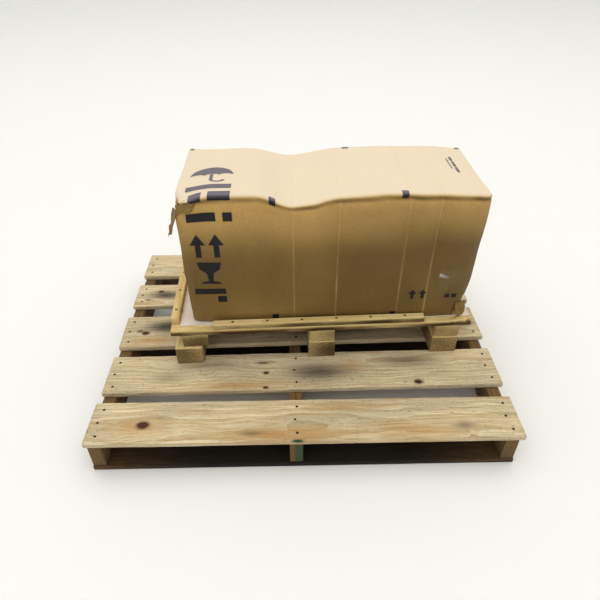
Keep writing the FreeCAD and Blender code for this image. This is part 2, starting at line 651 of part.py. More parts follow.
def make_front_cover():
    """Moulded front half: a shell open at the back, with stiffening ribs and an opening behind the fascia."""
    cover = block(-CASE_HALF, CASE_HALF, -FRONT_DEPTH, -PIECE_CLEARANCE, CASE_LIFT, CASE_TOP)
    cover = soften(cover, COVER_FILLET, lambda box: box.YMax < 1 - FRONT_DEPTH)
    half = CASE_HALF - COVER_WALL
    inside = block(-half, half, COVER_WALL - FRONT_DEPTH, 1, CASE_LIFT + COVER_WALL, CASE_TOP - COVER_WALL)
    opening = block(
        FASCIA_LEFT + FASCIA_LAP,
        FASCIA_RIGHT - FASCIA_LAP,
        -FRONT_DEPTH - 1,
        COVER_WALL + 1 - FRONT_DEPTH,
        FASCIA_BASE + FASCIA_LAP,
        FASCIA_TOP - FASCIA_LAP,
    )
    ribs = []
    first = (FASCIA_RIGHT + CASE_HALF) / 2 - RIB_PITCH * (RIB_COUNT - 1) / 2
    front = -FRONT_DEPTH - RIB_HEIGHT
    low = CASE_LIFT + RIB_MARGIN
    high = CASE_TOP - RIB_MARGIN
    for way in (-1, 1):
        for number in range(RIB_COUNT):
            left = way * (first + RIB_PITCH * number) - RIB_WIDTH / 2
            ribs.append(block(left, left + RIB_WIDTH, front, 1 - FRONT_DEPTH, low, high))
    write("front_cover", on_breaker(fuse([cut_all(cover, [inside, opening])] + ribs)))


# ---------------------------------------------------------------- breaker: current path
def make_terminals():
    """Copper bars out of the back of each phase; the upper ones end in the fixed contact."""
    for name, low in (("upper_terminals", UPPER_TERMINAL), ("lower_terminals", LOWER_TERMINAL)):
        high = low + TERMINAL_THICKNESS
        bars = []
        for centre in PHASE_CENTRES:
            left = centre - TERMINAL_WIDTH / 2
            bar = block(left, left + TERMINAL_WIDTH, TERMINAL_FRONT, BREAKER_BACK, low, high)
            if name == "upper_terminals":
                left = centre - CONTACT_WIDTH / 2
                base = high - CONTACT_PAD_HEIGHT
                pad = block(left, left + CONTACT_WIDTH, CONTACT_FACE, TERMINAL_FRONT, base, high)
                bar = fuse([bar, pad])
            for way in (-1, 1):
                along = centre + way * TERMINAL_HOLE_SPACING / 2
                place = Vector(along, REAR_DEPTH + TERMINAL_REACH / 2, low - 1)
                bar = bar.cut(rod(TERMINAL_HOLE_RADIUS, TERMINAL_THICKNESS + 2, place))
            bars.append(bar)
        write_group(name, bars, on_breaker)


def make_current_sensors():
    """Window-type current transformer around each lower terminal, against the housing's back wall."""
    sensors = []
    gap = PIECE_CLEARANCE
    for centre in PHASE_CENTRES:
        left = centre - TERMINAL_WIDTH / 2 - gap
        right = centre + TERMINAL_WIDTH / 2 + gap
        low = LOWER_TERMINAL - gap
        high = LOWER_TERMINAL + TERMINAL_THICKNESS + gap
        front = CHAMBER_BACK - SENSOR_LENGTH
        rim = SENSOR_RIM
        ring = block(left - rim, right + rim, front, CHAMBER_BACK, low - rim, high + rim)
        sensors.append(ring.cut(block(left, right, front - 1, CHAMBER_BACK + 1, low, high)))
    write_group("current_sensors", sensors, on_breaker)


def make_pole_shaft():
    """Cross shaft that swings the moving contacts of all the phases together."""
    reach = CASE_HALF - CASE_WALL / 2 - 1
    write("pole_shaft", on_breaker(rod(SHAFT_RADIUS, 2 * reach, SHAFT_CENTRE - ALONG * reach, ALONG)))


def make_moving_contacts():
    """A cluster of contact fingers clamped on the pole shaft in each phase, drawn open."""
    clusters = []
    pitch = CONTACT_WIDTH / FINGER_COUNT
    back = SHAFT_CENTRE.y + FINGER_OFFSET
    top = SHAFT_CENTRE.z + FINGER_LENGTH
    for centre in PHASE_CENTRES:
        start = centre - CONTACT_WIDTH / 2
        pieces = [rod(SHAFT_RADIUS + HUB_WALL, CONTACT_WIDTH, SHAFT_CENTRE + ALONG * start, ALONG)]
        for number in range(FINGER_COUNT):
            left = start + pitch * number + FINGER_GAP / 2
            right = left + pitch - FINGER_GAP
            pieces.append(block(left, right, back, back + FINGER_THICKNESS, SHAFT_CENTRE.z, top))
            pieces.append(block(left, right, back, CONTACT_FACE - CONTACT_GAP_CLOSED, top - FINGER_TIP, top))
        bore = rod(SHAFT_RADIUS, CONTACT_WIDTH + 2, SHAFT_CENTRE + ALONG * (start - 1), ALONG)
        clusters.append(turned(fuse(pieces).cut(bore), SHAFT_CENTRE, CONTACT_SWING, ALONG))
    write_group("moving_contacts", clusters, on_breaker)


def make_arc_chutes():
    """Arc chute over each phase: a moulded block with slots for its splitter plates."""
    chutes = []
    half = CHAMBER_WIDTH / 2 - PIECE_CLEARANCE
    back = CHAMBER_BACK
    front = back - CHUTE_DEPTH
    base = CASE_TOP - CHUTE_HEIGHT
    top = CASE_TOP + CHUTE_RISE
    pitch = 2 * (half - CHUTE_RIM) / CHUTE_SLOTS
    for centre in PHASE_CENTRES:
        chute = block(centre - half, centre + half, front, back, base, top)
        for number in range(CHUTE_SLOTS):
            left = centre - half + CHUTE_RIM + pitch * (number + 0.5) - CHUTE_SLOT_WIDTH / 2
            right = left + CHUTE_SLOT_WIDTH
            slot = block(left, right, front + CHUTE_RIM, back - CHUTE_RIM, base + CHUTE_RIM, top + 1)
            chute = chute.cut(slot)
        chutes.append(chute)
    write_group("arc_chutes", chutes, on_breaker)


# ---------------------------------------------------------------- breaker: controls on the front
def make_fascia():
    """Front plate with openings for the trip unit, buttons, windows and handle, and ears for the flags."""
    plate = block(FASCIA_LEFT, FASCIA_RIGHT, FASCIA_FRONT, -FRONT_DEPTH, FASCIA_BASE, FASCIA_TOP)
    plate = soften(plate, FASCIA_FILLET, lambda box: box.YMax < FASCIA_FRONT + 1)
    gap = PIECE_CLEARANCE
    openings = [
        (TRIP_LEFT - gap, TRIP_RIGHT + gap, TRIP_BASE - gap, TRIP_TOP + gap),
        (HANDLE_LEFT - 1, HANDLE_RIGHT + 1, FASCIA_BASE + HANDLE_MARGIN, FASCIA_TOP - HANDLE_MARGIN),
    ]
    for name in BUTTON_HEIGHTS:
        openings.append(button_sides(name, BUTTON_CLEARANCE))
    ears = []
    for height in FLAG_HEIGHTS.values():
        middle = FASCIA_BASE + height
        half = WINDOW_WIDTH / 2
        low = middle - WINDOW_HEIGHT / 2
        openings.append((CONTROL_CENTRE - half, CONTROL_CENTRE + half, low, low + WINDOW_HEIGHT))
        for way in (-1, 1):
            inner = CONTROL_CENTRE + way * (FLAG_WIDTH / 2 + PIECE_CLEARANCE)
            low = middle - FLAG_EAR_HALF
            back = FLAG_PLACE + FLAG_EAR_HALF
            ear = block(inner, inner + way * FLAG_EAR, -FRONT_DEPTH, back, low, low + 2 * FLAG_EAR_HALF)
            ears.append(ear.cut(flag_rod(FLAG_AXLE_RADIUS + SHAFT_CLEARANCE, middle, 2 * FLAG_EAR)))
    cuts = []
    for left, right, low, high in openings:
        cuts.append(block(left, right, FASCIA_FRONT - 1, 1 - FRONT_DEPTH, low, high))
    write("fascia", on_breaker(fuse([cut_all(plate, cuts)] + ears)))


def flag_rod(radius, middle, beyond):
    """Rod on a flag's axis, as wide as its drum and so much longer at each end."""
    start = Vector(CONTROL_CENTRE - FLAG_WIDTH / 2 - beyond, FLAG_PLACE, middle)
    return rod(radius, FLAG_WIDTH + 2 * beyond, start, ALONG)


def make_flags():
    """Drums behind the windows that show whether the contacts are closed and the spring is charged."""
    for name, height in FLAG_HEIGHTS.items():
        middle = FASCIA_BASE + height
        reach = FLAG_RADIUS + 1
        behind = block(
            CONTROL_CENTRE - FLAG_WIDTH,
            CONTROL_CENTRE + FLAG_WIDTH,
            FLAG_PLACE + FLAG_AXLE_RADIUS,
            FLAG_PLACE + reach,
            middle - reach,
            middle + reach,
        )
        drum = flag_rod(FLAG_RADIUS, middle, 0).cut(behind)
        axle = flag_rod(FLAG_AXLE_RADIUS, middle, PIECE_CLEARANCE + FLAG_EAR)
        write(name, on_breaker(fuse([drum, axle])))


def button_sides(name, grow=0.0):
    """Left, right, lower and upper sides of a button, or of the hole around it."""
    middle = FASCIA_BASE + BUTTON_HEIGHTS[name]
    across = BUTTON_WIDTH / 2 + grow
    up = BUTTON_HEIGHT / 2 + grow
    return CONTROL_CENTRE - across, CONTROL_CENTRE + across, middle - up, middle + up


def make_buttons():
    for name in BUTTON_HEIGHTS:
        left, right, low, high = button_sides(name)
        front = FASCIA_FRONT - BUTTON_PROUD
        cap = block(left, right, front, front + BUTTON_DEPTH, low, high)
        cap = soften(cap, BUTTON_PROUD * 0.75, lambda box: box.YMax < FASCIA_FRONT)
        root = Vector(CONTROL_CENTRE, front + BUTTON_DEPTH - 1, (low + high) / 2)
        write(name, on_breaker(fuse([cap, rod(BUTTON_STEM_RADIUS, BUTTON_STEM_LENGTH + 1, root, BACK)])))


def make_trip_unit():
    """Electronic trip unit: a housing with a recessed display and three rows of setting dials."""
    front = TRIP_UNIT_FRONT
    unit = block(TRIP_LEFT, TRIP_RIGHT, front, TRIP_UNIT_DEPTH - FRONT_DEPTH, TRIP_BASE, TRIP_TOP)
    unit = soften(unit, TRIP_UNIT_FILLET, lambda box: box.YMax < front + 1)
    left = TRIP_LEFT + TRIP_UNIT_MARGIN
    right = TRIP_RIGHT - TRIP_UNIT_MARGIN
    top = TRIP_TOP - TRIP_UNIT_MARGIN
    unit = unit.cut(block(left, right, front - 1, front + DISPLAY_DEPTH, top - DISPLAY_HEIGHT, top))
    middle = (TRIP_LEFT + TRIP_RIGHT) / 2
    for row in range(3):
        for column in (-1, 0, 1):
            place = Vector(middle + DIAL_PITCH_X * column, front, DIAL_BASE + DIAL_PITCH_Z * row)
            unit = unit.cut(rod(DIAL_RADIUS, DIAL_DEPTH + 1, place - BACK, BACK))
            unit = unit.fuse(rod(DIAL_KNOB_RADIUS, DIAL_DEPTH - 0.6, place + BACK * 0.6, BACK))
    write("trip_unit", on_breaker(unit.removeSplitter()))


def make_trip_unit_cover():
    """Clear cover over the trip unit's dials."""
    wall = TRIP_COVER_WALL
    left = TRIP_LEFT + TRIP_COVER_INSET
    right = TRIP_RIGHT - TRIP_COVER_INSET
    low = TRIP_BASE + TRIP_COVER_INSET
    high = low + TRIP_COVER_HEIGHT
    front = BREAKER_FRONT + wall
    cover = block(left, right, BREAKER_FRONT, TRIP_UNIT_FRONT, low, high)
    inside = block(left + wall, right - wall, front, TRIP_UNIT_FRONT + 1, low + wall, high - wall)
    write("trip_unit_cover", on_breaker(cover.cut(inside)))


def make_control_terminals():
    """Row of wiring terminals for the auxiliary circuits, on top of the front cover."""
    half = CASE_HALF - CONTROL_STRIP_MARGIN
    front = CONTROL_STRIP_SETBACK - FRONT_DEPTH
    top = CASE_TOP + CONTROL_STRIP_HEIGHT
    strip = block(-half, half, front, front + CONTROL_STRIP_DEPTH, CASE_TOP, top)
    pitch = 2 * half / CONTROL_WAYS
    for number in range(CONTROL_WAYS):
        left = pitch * (number + 0.2) - half
        right = left + pitch * 0.6
        base = CASE_TOP + CONTROL_STRIP_HEIGHT / 3
        strip = strip.cut(block(left, right, front - 1, front + CONTROL_STRIP_DEPTH / 2, base, top + 1))
    write("control_terminals", on_breaker(strip))


# ---------------------------------------------------------------- breaker: mechanism
def make_charging_handle():
    """Lever that charges the closing spring, folded flat into its slot."""
    axis = Vector(HANDLE_LEFT, CHARGING_CENTRE.y, CHARGING_CENTRE.z)
    front = FASCIA_FRONT - HANDLE_PROUD
    back = front + HANDLE_GRIP_DEPTH
    base = axis.z
    grip = block(HANDLE_LEFT, HANDLE_RIGHT, front, back, base, FASCIA_TOP - HANDLE_MARGIN - 1)
    grip = soften(grip, HANDLE_FILLET, lambda box: box.YMax < FASCIA_FRONT)
    left = HANDLE_LEFT + HANDLE_WIDTH / 4
    arm = block(left, left + HANDLE_WIDTH / 2, back - 1, axis.y, base, base + HANDLE_ARM_HEIGHT)
    hub = rod(HANDLE_HUB_RADIUS, HANDLE_WIDTH, axis, ALONG)
    bore = rod(CHARGING_RADIUS + SHAFT_CLEARANCE, HANDLE_WIDTH + 2, axis - ALONG, ALONG)
    write("charging_handle", on_breaker(fuse([hub, arm, grip]).cut(bore)))


def make_charging_shaft():
    """Shaft across the mechanism with the ratchet wheel that the handle turns."""
    reach = MECHANISM_HALF + 12
    shaft = rod(CHARGING_RADIUS, 2 * reach, CHARGING_CENTRE - ALONG * reach, ALONG)
    outline = []
    for tooth in range(RATCHET_TEETH):
        for share, radius in ((0.0, RATCHET_ROOT), (0.85, RATCHET_TIP)):
            angle = 2 * math.pi * (tooth + share) / RATCHET_TEETH
            outline.append(CHARGING_CENTRE + Vector(0, radius * math.cos(angle), radius * math.sin(angle)))
    outline.append(outline[0])
    wheel = Part.Face(Part.makePolygon(outline)).extrude(ALONG * RATCHET_WIDTH)
    wheel.translate(ALONG * (HANDLE_RIGHT + 5))
    write("charging_shaft", on_breaker(fuse([shaft, wheel])))


def make_mechanism_frame():
    """Two steel plates on the phase walls, tied by rods, with the spring's two brackets on the left one."""
    low = CASE_LIFT + MECHANISM_MARGIN
    high = CASE_TOP - MECHANISM_MARGIN
    pieces = []
    for way in (-1, 1):
        left = way * MECHANISM_HALF - MECHANISM_PLATE / 2
        plate = block(left, left + MECHANISM_PLATE, MECHANISM_FRONT, 0, low, high)
        start = Vector(left - 1, CHARGING_CENTRE.y, CHARGING_CENTRE.z)
        pieces.append(plate.cut(rod(CHARGING_RADIUS + SHAFT_CLEARANCE, MECHANISM_PLATE + 2, start, ALONG)))
    rods = ((MECHANISM_FRONT + TIE_ROD_INSET, high - TIE_ROD_INSET),)
    rods += ((-TIE_ROD_INSET, low + TIE_ROD_INSET), (-TIE_ROD_INSET, high - TIE_ROD_INSET))
    for across, height in rods:
        start = Vector(-MECHANISM_HALF, across, height)
        pieces.append(rod(TIE_ROD_RADIUS, 2 * MECHANISM_HALF, start, ALONG))
    reach = SPRING_RADIUS + SPRING_WIRE + 2
    front = SPRING_CENTRE.y - reach
    back = SPRING_CENTRE.y + reach
    for base in (SPRING_CENTRE.z - BRACKET_THICKNESS, SPRING_CENTRE.z + SPRING_LENGTH + 2 * SPRING_WIRE):
        top = base + BRACKET_THICKNESS
        pieces.append(block(-MECHANISM_HALF, SPRING_CENTRE.x + reach, front, back, base, top))
    write("mechanism_frame", on_breaker(fuse(pieces)))


def make_closing_spring():
    """Helical spring that stores the closing energy, upright between its brackets."""
    helix = Part.makeHelix(SPRING_LENGTH / SPRING_TURNS, SPRING_LENGTH, SPRING_RADIUS)
    section = Part.Wire([Part.makeCircle(SPRING_WIRE, Vector(SPRING_RADIUS, 0, 0), BACK)])
    coil = Part.Wire(helix.Edges).makePipeShell([section], True, True)
    write("closing_spring", on_breaker(coil.translated(SPRING_CENTRE + UP * SPRING_WIRE)))


def make_release_coils():
    """Closing and opening release coils on the right mechanism plate, behind the two buttons."""
    left = MECHANISM_HALF + MECHANISM_PLATE / 2
    front = MECHANISM_FRONT + 6
    coils = []
    for height in BUTTON_HEIGHTS.values():
        middle = FASCIA_BASE + height
        low = middle - COIL_SIZE / 2
        yoke = block(left, left + COIL_SIZE, front, front + COIL_LENGTH, low, low + COIL_SIZE)
        start = Vector(left + COIL_SIZE / 2, front, middle)
        plunger = rod(PLUNGER_RADIUS, COIL_LENGTH + PLUNGER_REACH, start, BACK)
        coils.append(fuse([yoke, plunger]))
    write_group("release_coils", coils, on_breaker)


def make_auxiliary_switch():
    """Block of signal contacts on the left mechanism plate, with its row of solder tags below."""
    right = -MECHANISM_HALF - MECHANISM_PLATE / 2
    left = right - AUXILIARY_WIDTH
    back = -TIE_ROD_INSET
    front = back - AUXILIARY_DEPTH
    low = CHARGING_CENTRE.z + AUXILIARY_RISE
    pieces = [block(left, right, front, back, low, low + AUXILIARY_HEIGHT)]
    for number in range(AUXILIARY_TAGS):
        start = left + AUXILIARY_WIDTH * (number + 0.5) / AUXILIARY_TAGS
        pieces.append(block(start - 2, start + 2, front + 4, back - 4, low - 8, low + 1))
    write("auxiliary_switch", on_breaker(fuse(pieces)))


# ---------------------------------------------------------------- build everything
os.makedirs("parts", exist_ok=True)
make_deck_boards()
make_stringers()
make_bottom_boards()
make_pallet_nails()
make_runners()
make_skid_boards()
make_rails_and_batten()
make_skid_nails()
make_barrier_sheet()
make_carton_cap()
make_corner_posts()
make_top_pad()
make_document_pouch()
make_staples()
make_side_plates()
make_foot_screws()
make_pole_housing()
make_front_cover()
make_terminals()
make_current_sensors()
make_pole_shaft()
make_moving_contacts()
make_arc_chutes()
make_fascia()
make_flags()
make_buttons()
make_trip_unit()
make_trip_unit_cover()
make_control_terminals()
make_charging_handle()
make_charging_shaft()
make_mechanism_frame()
make_closing_spring()
make_release_coils()
make_auxiliary_switch()
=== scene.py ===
import functools
import math
import random

import bmesh
import bpy
import numpy as np
from mathutils import Matrix, Vector, noise
from mathutils.bvhtree import BVHTree


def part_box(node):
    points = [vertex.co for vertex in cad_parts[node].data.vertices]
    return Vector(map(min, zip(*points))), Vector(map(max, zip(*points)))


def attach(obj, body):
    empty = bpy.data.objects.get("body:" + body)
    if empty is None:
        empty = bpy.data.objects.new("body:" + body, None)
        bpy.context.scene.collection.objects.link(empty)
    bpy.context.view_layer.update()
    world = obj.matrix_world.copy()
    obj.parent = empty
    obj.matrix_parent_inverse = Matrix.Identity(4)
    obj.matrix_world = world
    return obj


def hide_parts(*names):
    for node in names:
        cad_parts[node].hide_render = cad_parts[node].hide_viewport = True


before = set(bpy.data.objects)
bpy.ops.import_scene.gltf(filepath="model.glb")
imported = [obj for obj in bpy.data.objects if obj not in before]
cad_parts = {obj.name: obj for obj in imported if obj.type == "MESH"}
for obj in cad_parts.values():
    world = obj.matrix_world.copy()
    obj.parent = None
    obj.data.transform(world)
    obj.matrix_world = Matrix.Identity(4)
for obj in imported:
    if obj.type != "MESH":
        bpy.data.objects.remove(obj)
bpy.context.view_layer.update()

# ---------------------------------------------------------------- the room
# The load stands in a plain studio, lit from above through a wide soft ceiling. The floor is painted board,
# matt and nearly white, and sweeps up into the walls far behind the load.


def linear(code):
    """An sRGB hex colour as the linear numbers that a shader works with."""
    parts = [int(code[start:start + 2], 16) / 255 for start in (1, 3, 5)]
    return [part / 12.92 if part <= 0.04045 else ((part + 0.055) / 1.055) ** 2.4 for part in parts] + [1.0]


def add_node(tree, kind, inputs, settings=None, output=0, stops=()):
    """One shader node with the values or sources of its inputs, its settings, and its colour stops."""
    node = tree.nodes.new("ShaderNode" + kind)
    for name, value in (settings or {}).items():
        setattr(node, name, value)
    for name, value in inputs.items():
        if isinstance(value, bpy.types.NodeSocket):
            tree.links.new(value, node.inputs[name])
        else:
            node.inputs[name].default_value = value
    for number, (place, colour) in enumerate(stops):
        if number > 1:
            node.color_ramp.elements.new(place)
        node.color_ramp.elements[number].position = place
        node.color_ramp.elements[number].color = linear(colour)
    return node.outputs[output] if node.outputs else node


def new_material(name):
    """An empty material, and the function that adds nodes to it."""
    material = bpy.data.materials.new(name)
    material.use_nodes = True
    material.node_tree.nodes.clear()
    return material, functools.partial(add_node, material.node_tree)


def finish_material(add, surface):
    """Ends a material with its surface, given as the inputs of a principled shader."""
    add("OutputMaterial", {"Surface": add("BsdfPrincipled", surface)})


def new_piece(name, points, faces, material, smooth=True):
    """A mesh object in the row frame."""
    mesh = bpy.data.meshes.new(name)
    mesh.from_pydata([tuple(point) for point in points], [], [tuple(face) for face in faces])
    mesh.materials.append(material)
    mesh.polygons.foreach_set("use_smooth", [smooth] * len(mesh.polygons))
    mesh.update()
    piece = bpy.data.objects.new(name, mesh)
    bpy.context.scene.collection.objects.link(piece)
    return piece


FLOOR_REACH = 8.0
SWEEP_RADIUS = 2.0
SWEEP_HEIGHT = 6.5
SWEEP_STEPS = 9
SIDES = 48
MOTTLE_SIZE = 1.25
FLOOR_DROP = 0.0004  # keeps the floor just under the pallet's boards
# Emulsion on board: to the eye a flat, even white with the faintest clouding.
floor_paint, add = new_material("pale floor paint")
mottle = add("TexNoise", {"Scale": 1 / MOTTLE_SIZE, "Detail": 3.0})
paint = add("ValToRGB", {"Fac": mottle}, stops=((0.3, "#F7F7F6"), (0.7, "#FBFBFA")))
finish_material(add, {"Base Color": paint, "Roughness": 0.9})
floor_points = [(0.0, 0.0, -FLOOR_DROP)]
profile = [(FLOOR_REACH / 2, 0.0)] + [
    (FLOOR_REACH + SWEEP_RADIUS * math.sin(turn), SWEEP_RADIUS * (1 - math.cos(turn)))
    for turn in [math.pi / 2 * number / SWEEP_STEPS for number in range(SWEEP_STEPS + 1)]
] + [(FLOOR_REACH + SWEEP_RADIUS, SWEEP_HEIGHT)]
for out, rise in profile:
    for side in range(SIDES):
        turn = 2 * math.pi * side / SIDES
        floor_points.append((out * math.cos(turn), out * math.sin(turn), rise - FLOOR_DROP))
floor_faces = [(0, 1 + side, 1 + (side + 1) % SIDES) for side in range(SIDES)]
for ring in range(len(profile) - 1):
    for side in range(SIDES):
        first, second = 1 + ring * SIDES + side, 1 + ring * SIDES + (side + 1) % SIDES
        floor_faces.append((first, first + SIDES, second + SIDES, second))
new_piece("floor", floor_points, floor_faces, floor_paint)

CEILING_GLOW = 1.12
world = bpy.data.worlds.new("room")
bpy.context.scene.world = world
world.use_nodes = True
tree = world.node_tree
add = functools.partial(add_node, tree)
upward = add("TexCoord", {})
upward = add("SeparateXYZ", {"Vector": upward}, output=2)
ceiling = add("ValToRGB", {"Fac": upward}, stops=((0.30, "#3A3A38"), (0.78, "#FFFEFA")))
tree.links.new(ceiling, tree.nodes["Background"].inputs["Color"])
tree.nodes["Background"].inputs["Strength"].default_value = CEILING_GLOW


def add_lamp(name, place, aim, width, depth, power, colour):
    """A soft rectangular lamp that faces a point."""
    lamp = bpy.data.objects.new(name, bpy.data.lights.new(name, "AREA"))
    lamp.data.shape = "RECTANGLE"
    lamp.data.size = width
    lamp.data.size_y = depth
    lamp.data.energy = power
    lamp.data.color = linear(colour)[:3]
    lamp.location = place
    lamp.rotation_euler = (Vector(aim) - Vector(place)).to_track_quat("-Z", "Y").to_euler()
    bpy.context.scene.collection.objects.link(lamp)


add_lamp("ceiling lamp", (0.0, 0.6, 4.5), (0.0, 0.3, 0.0), 7.0, 7.0, 61.0, "#FFFBF2")
add_lamp("front lamp", (-1.2, -2.4, 2.6), (0.0, 0.0, 0.5), 2.0, 1.4, 3.0, "#FFF8EC")

EYE = (-0.0246, -1.3768, 1.3106)
HEADING, TILT, ROLL = (math.radians(angle) for angle in (-0.82, -37.93, 0.37))
camera = bpy.data.objects.new("camera", bpy.data.cameras.new("camera"))
camera.data.sensor_width = 36.0
camera.data.lens = 31.85
camera.location = EYE
aim = Matrix.Rotation(HEADING, 3, "Z") @ Matrix.Rotation(TILT, 3, "X")
aim = aim @ Matrix.Rotation(ROLL, 3, "Y") @ Matrix.Rotation(math.radians(90), 3, "X")
camera.rotation_euler = aim.to_euler()
bpy.context.scene.collection.objects.link(camera)
bpy.context.scene.camera = camera
bpy.context.scene.view_settings.view_transform = "Standard"

# ---------------------------------------------------------------- pallet timber
# Stringers, bottom boards and deck boards of a used softwood pallet, sawn from pine, nailed up rough and left
# outside: the faces have gone grey and stained, the edges are rounded and chipped, and the ends are split.

RING_WIDTH = 0.011  # real rings are 2 to 4 mm wide; drawn coarser so that they show
FIBRE_WIDTH = 0.0045  # bundles of fibres that stand out once the soft wood between them has worn
STAIN_LENGTH = 0.30
SPECK_SIZE = 0.006  # spots of mould
PAINT_GREEN = "#284A34"
RESIN_BROWN = "#4E2A1B"
SAP_TAN = "#B9853F"
BLEND = {"data_type": "RGBA"}
TIMES = {"operation": "MULTIPLY"}
TIMES_CLAMPED = {"operation": "MULTIPLY", "use_clamp": True}
TIMES_PLUS = {"operation": "MULTIPLY_ADD"}


def timber_material(name, pale, dark, grey, grime_and_shade, grey_share, speck_share):
    """Sawn pine: rings cut through by the saw, raised fibres, grey patches, each board's own marks and
    painted shade.
    """
    material, add = new_material(name)
    place = add("Attribute", {}, {"attribute_name": "timber"}, output=1)
    sway = add("TexNoise", {"Vector": place, "Scale": 2.6, "Detail": 2.0}, output=1)
    sway = add("VectorMath", {0: sway, 1: (0.5, 0.5, 0.5)}, {"operation": "SUBTRACT"})
    bent = add("VectorMath", {0: sway, 1: (0.0, 0.05, 0.05), 2: place}, TIMES_PLUS)
    ring_inputs = {
        "Vector": bent, "Scale": math.pi / 10 / RING_WIDTH, "Distortion": 1.2,
        "Detail": 2.0, "Detail Scale": 0.6,
    }
    ring_shape = {"wave_type": "RINGS", "rings_direction": "X", "wave_profile": "SAW"}
    rings = add("TexWave", ring_inputs, ring_shape, output=1)
    stretch = add("VectorMath", {0: bent, 1: (0.035, 1.0, 1.0)}, TIMES)
    fibres = add("TexNoise", {"Vector": stretch, "Scale": 1 / FIBRE_WIDTH, "Detail": 5.0, "Roughness": 0.65})
    long_way = add("VectorMath", {0: bent, 1: (0.22, 1.0, 1.0)}, TIMES)
    patches = {"Vector": long_way, "Scale": 4 / STAIN_LENGTH, "Detail": 6.0, "Roughness": 0.62}
    patches = add("TexNoise", patches)
    spots = add("VectorMath", {0: place, 1: (0.45, 1.0, 1.0)}, TIMES)
    specks = add("TexNoise", {"Vector": spots, "Scale": 1 / SPECK_SIZE, "Detail": 3.0, "Roughness": 0.7})
    growth = add("ValToRGB", {"Fac": rings}, stops=((0.0, pale), (1.0, dark)))
    thread = add("ValToRGB", {"Fac": fibres}, stops=((0.32, dark), (0.62, pale)))
    wood = add("Mix", {0: 0.6, 6: growth, 7: thread}, BLEND, output=2)
    share = add("MapRange", {"Value": patches, "From Min": 0.42, "From Max": 0.68, "To Max": grey_share})
    wood = add("Mix", {0: share, 6: wood, 7: linear(grey)}, BLEND, output=2)
    share = add("MapRange", {"Value": specks, "From Min": 0.58, "From Max": 0.74, "To Max": speck_share})
    share = add("Math", {0: share, 1: patches}, TIMES)
    wood = add("Mix", {0: share, 6: wood, 7: linear(grime_and_shade)}, BLEND, output=2)
    painted = add("Attribute", {}, {"attribute_name": "marks"}).node
    marks = add("SeparateColor", {"Color": painted.outputs[0]}).node
    ragged = add("Math", {0: fibres, 1: 0.5}, {"operation": "SUBTRACT"})
    share = add("Math", {0: painted.outputs[3], 1: patches}, TIMES_CLAMPED)
    wood = add("Mix", {0: share, 6: wood, 7: linear(SAP_TAN)}, BLEND, output=2)
    # Channel 2 mixes in the grime colour, for grime and for painted shade on the faces that don't look up.
    stains_and_shade = ((2, grime_and_shade, 0.9, 0.8), (0, RESIN_BROWN, 1.6, 0.85), (1, PAINT_GREEN, 0.9, 0.9))
    for channel, colour, edge, strength in stains_and_shade:
        share = add("Math", {0: ragged, 1: edge, 2: marks.outputs[channel]}, TIMES_PLUS)
        share = add("MapRange", {"Value": share, "From Min": 0.25, "From Max": 0.7, "To Max": strength})
        share = add("Math", {0: share, 1: marks.outputs[channel]}, TIMES)
        share = add("Math", {0: share, 1: 1.6}, TIMES_CLAMPED)
        wood = add("Mix", {0: share, 6: wood, 7: linear(colour)}, BLEND, output=2)
    height = add("Math", {0: rings, 1: 0.25, 2: fibres}, TIMES_PLUS)
    relief = add("Bump", {"Height": height, "Strength": 0.55, "Distance": 0.0016})
    rough = add("MapRange", {"Value": fibres, "To Min": 0.68, "To Max": 0.92})
    surface = {
        "Base Color": wood, "Roughness": rough, "Normal": relief, "IOR": 1.5, "Specular IOR Level": 0.3,
    }
    finish_material(add, surface)
    return material


def board_frame(node):
    """A board's middle, its directions along, across and through, and half its sizes, from its solid."""
    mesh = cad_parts[node].data
    points = np.array([vertex.co for vertex in mesh.vertices])
    found = []
    for face in sorted(mesh.polygons, key=lambda face: -face.area):
        normal = np.array(face.normal)
        if len(found) < 3 and not any(abs(normal @ other) > 0.1 for other in found):
            found.append(normal * np.sign(normal[np.argmax(np.abs(normal))]))
    found.sort(key=lambda way: np.ptp(points @ way), reverse=True)
    lows = np.array([(points @ way).min() for way in found])
    highs = np.array([(points @ way).max() for way in found])
    middle = sum(way * value for way, value in zip(found, (lows + highs) / 2))
    return middle, np.array(found), (highs - lows) / 2


def cross_lines(half, radius, step, extra=()):
    """Where the mesh's lines cross one direction: close at rounded edges, then even, plus extra places."""
    inner = half - radius
    count = max(1, round(2 * inner / step))
    even = [inner * (2 * number / count - 1) for number in range(count + 1)]
    ends = [half, inner + radius * 0.45, inner - radius * 0.9]
    lines = sorted(even + ends + [-end for end in ends] + [place for place in extra if abs(place) < inner])
    kept = [lines[0]]
    for line in lines[1:]:
        if line - kept[-1] > radius * 0.2:
            kept.append(line)
    kept[-1] = half
    return kept


def box_skin(lines, open_below=False):
    """The skin of a box cut by lines in three directions, as points and four-sided faces."""
    last = [len(line) - 1 for line in lines]
    numbers, points, faces = {}, [], []

    def point(key):
        if key not in numbers:
            numbers[key] = len(points)
            points.append([lines[axis][key[axis]] for axis in range(3)])
        return numbers[key]

    for axis in range(3):
        first, second = (axis + 1) % 3, (axis + 2) % 3
        for side in (0, last[axis]):
            if open_below and axis == 2 and side == 0:
                continue
            for i in range(last[first]):
                for j in range(last[second]):
                    corners = []
                    for di, dj in ((0, 0), (1, 0), (1, 1), (0, 1)):
                        key = [0, 0, 0]
                        key[axis], key[first], key[second] = side, i + di, j + dj
                        corners.append(point(tuple(key)))
                    faces.append(corners if side else corners[::-1])
    return np.array(points), faces


def rounded(points, half, radius):
    """Box points drawn in so that the box's edges are rounded."""
    core = np.clip(points, -(half - radius), half - radius)
    out = points - core
    length = np.linalg.norm(out, axis=1)
    peak = np.abs(out).max(axis=1)
    return core + out * np.where(length > 0, peak / np.maximum(length, 1e-9), 0)[:, None]


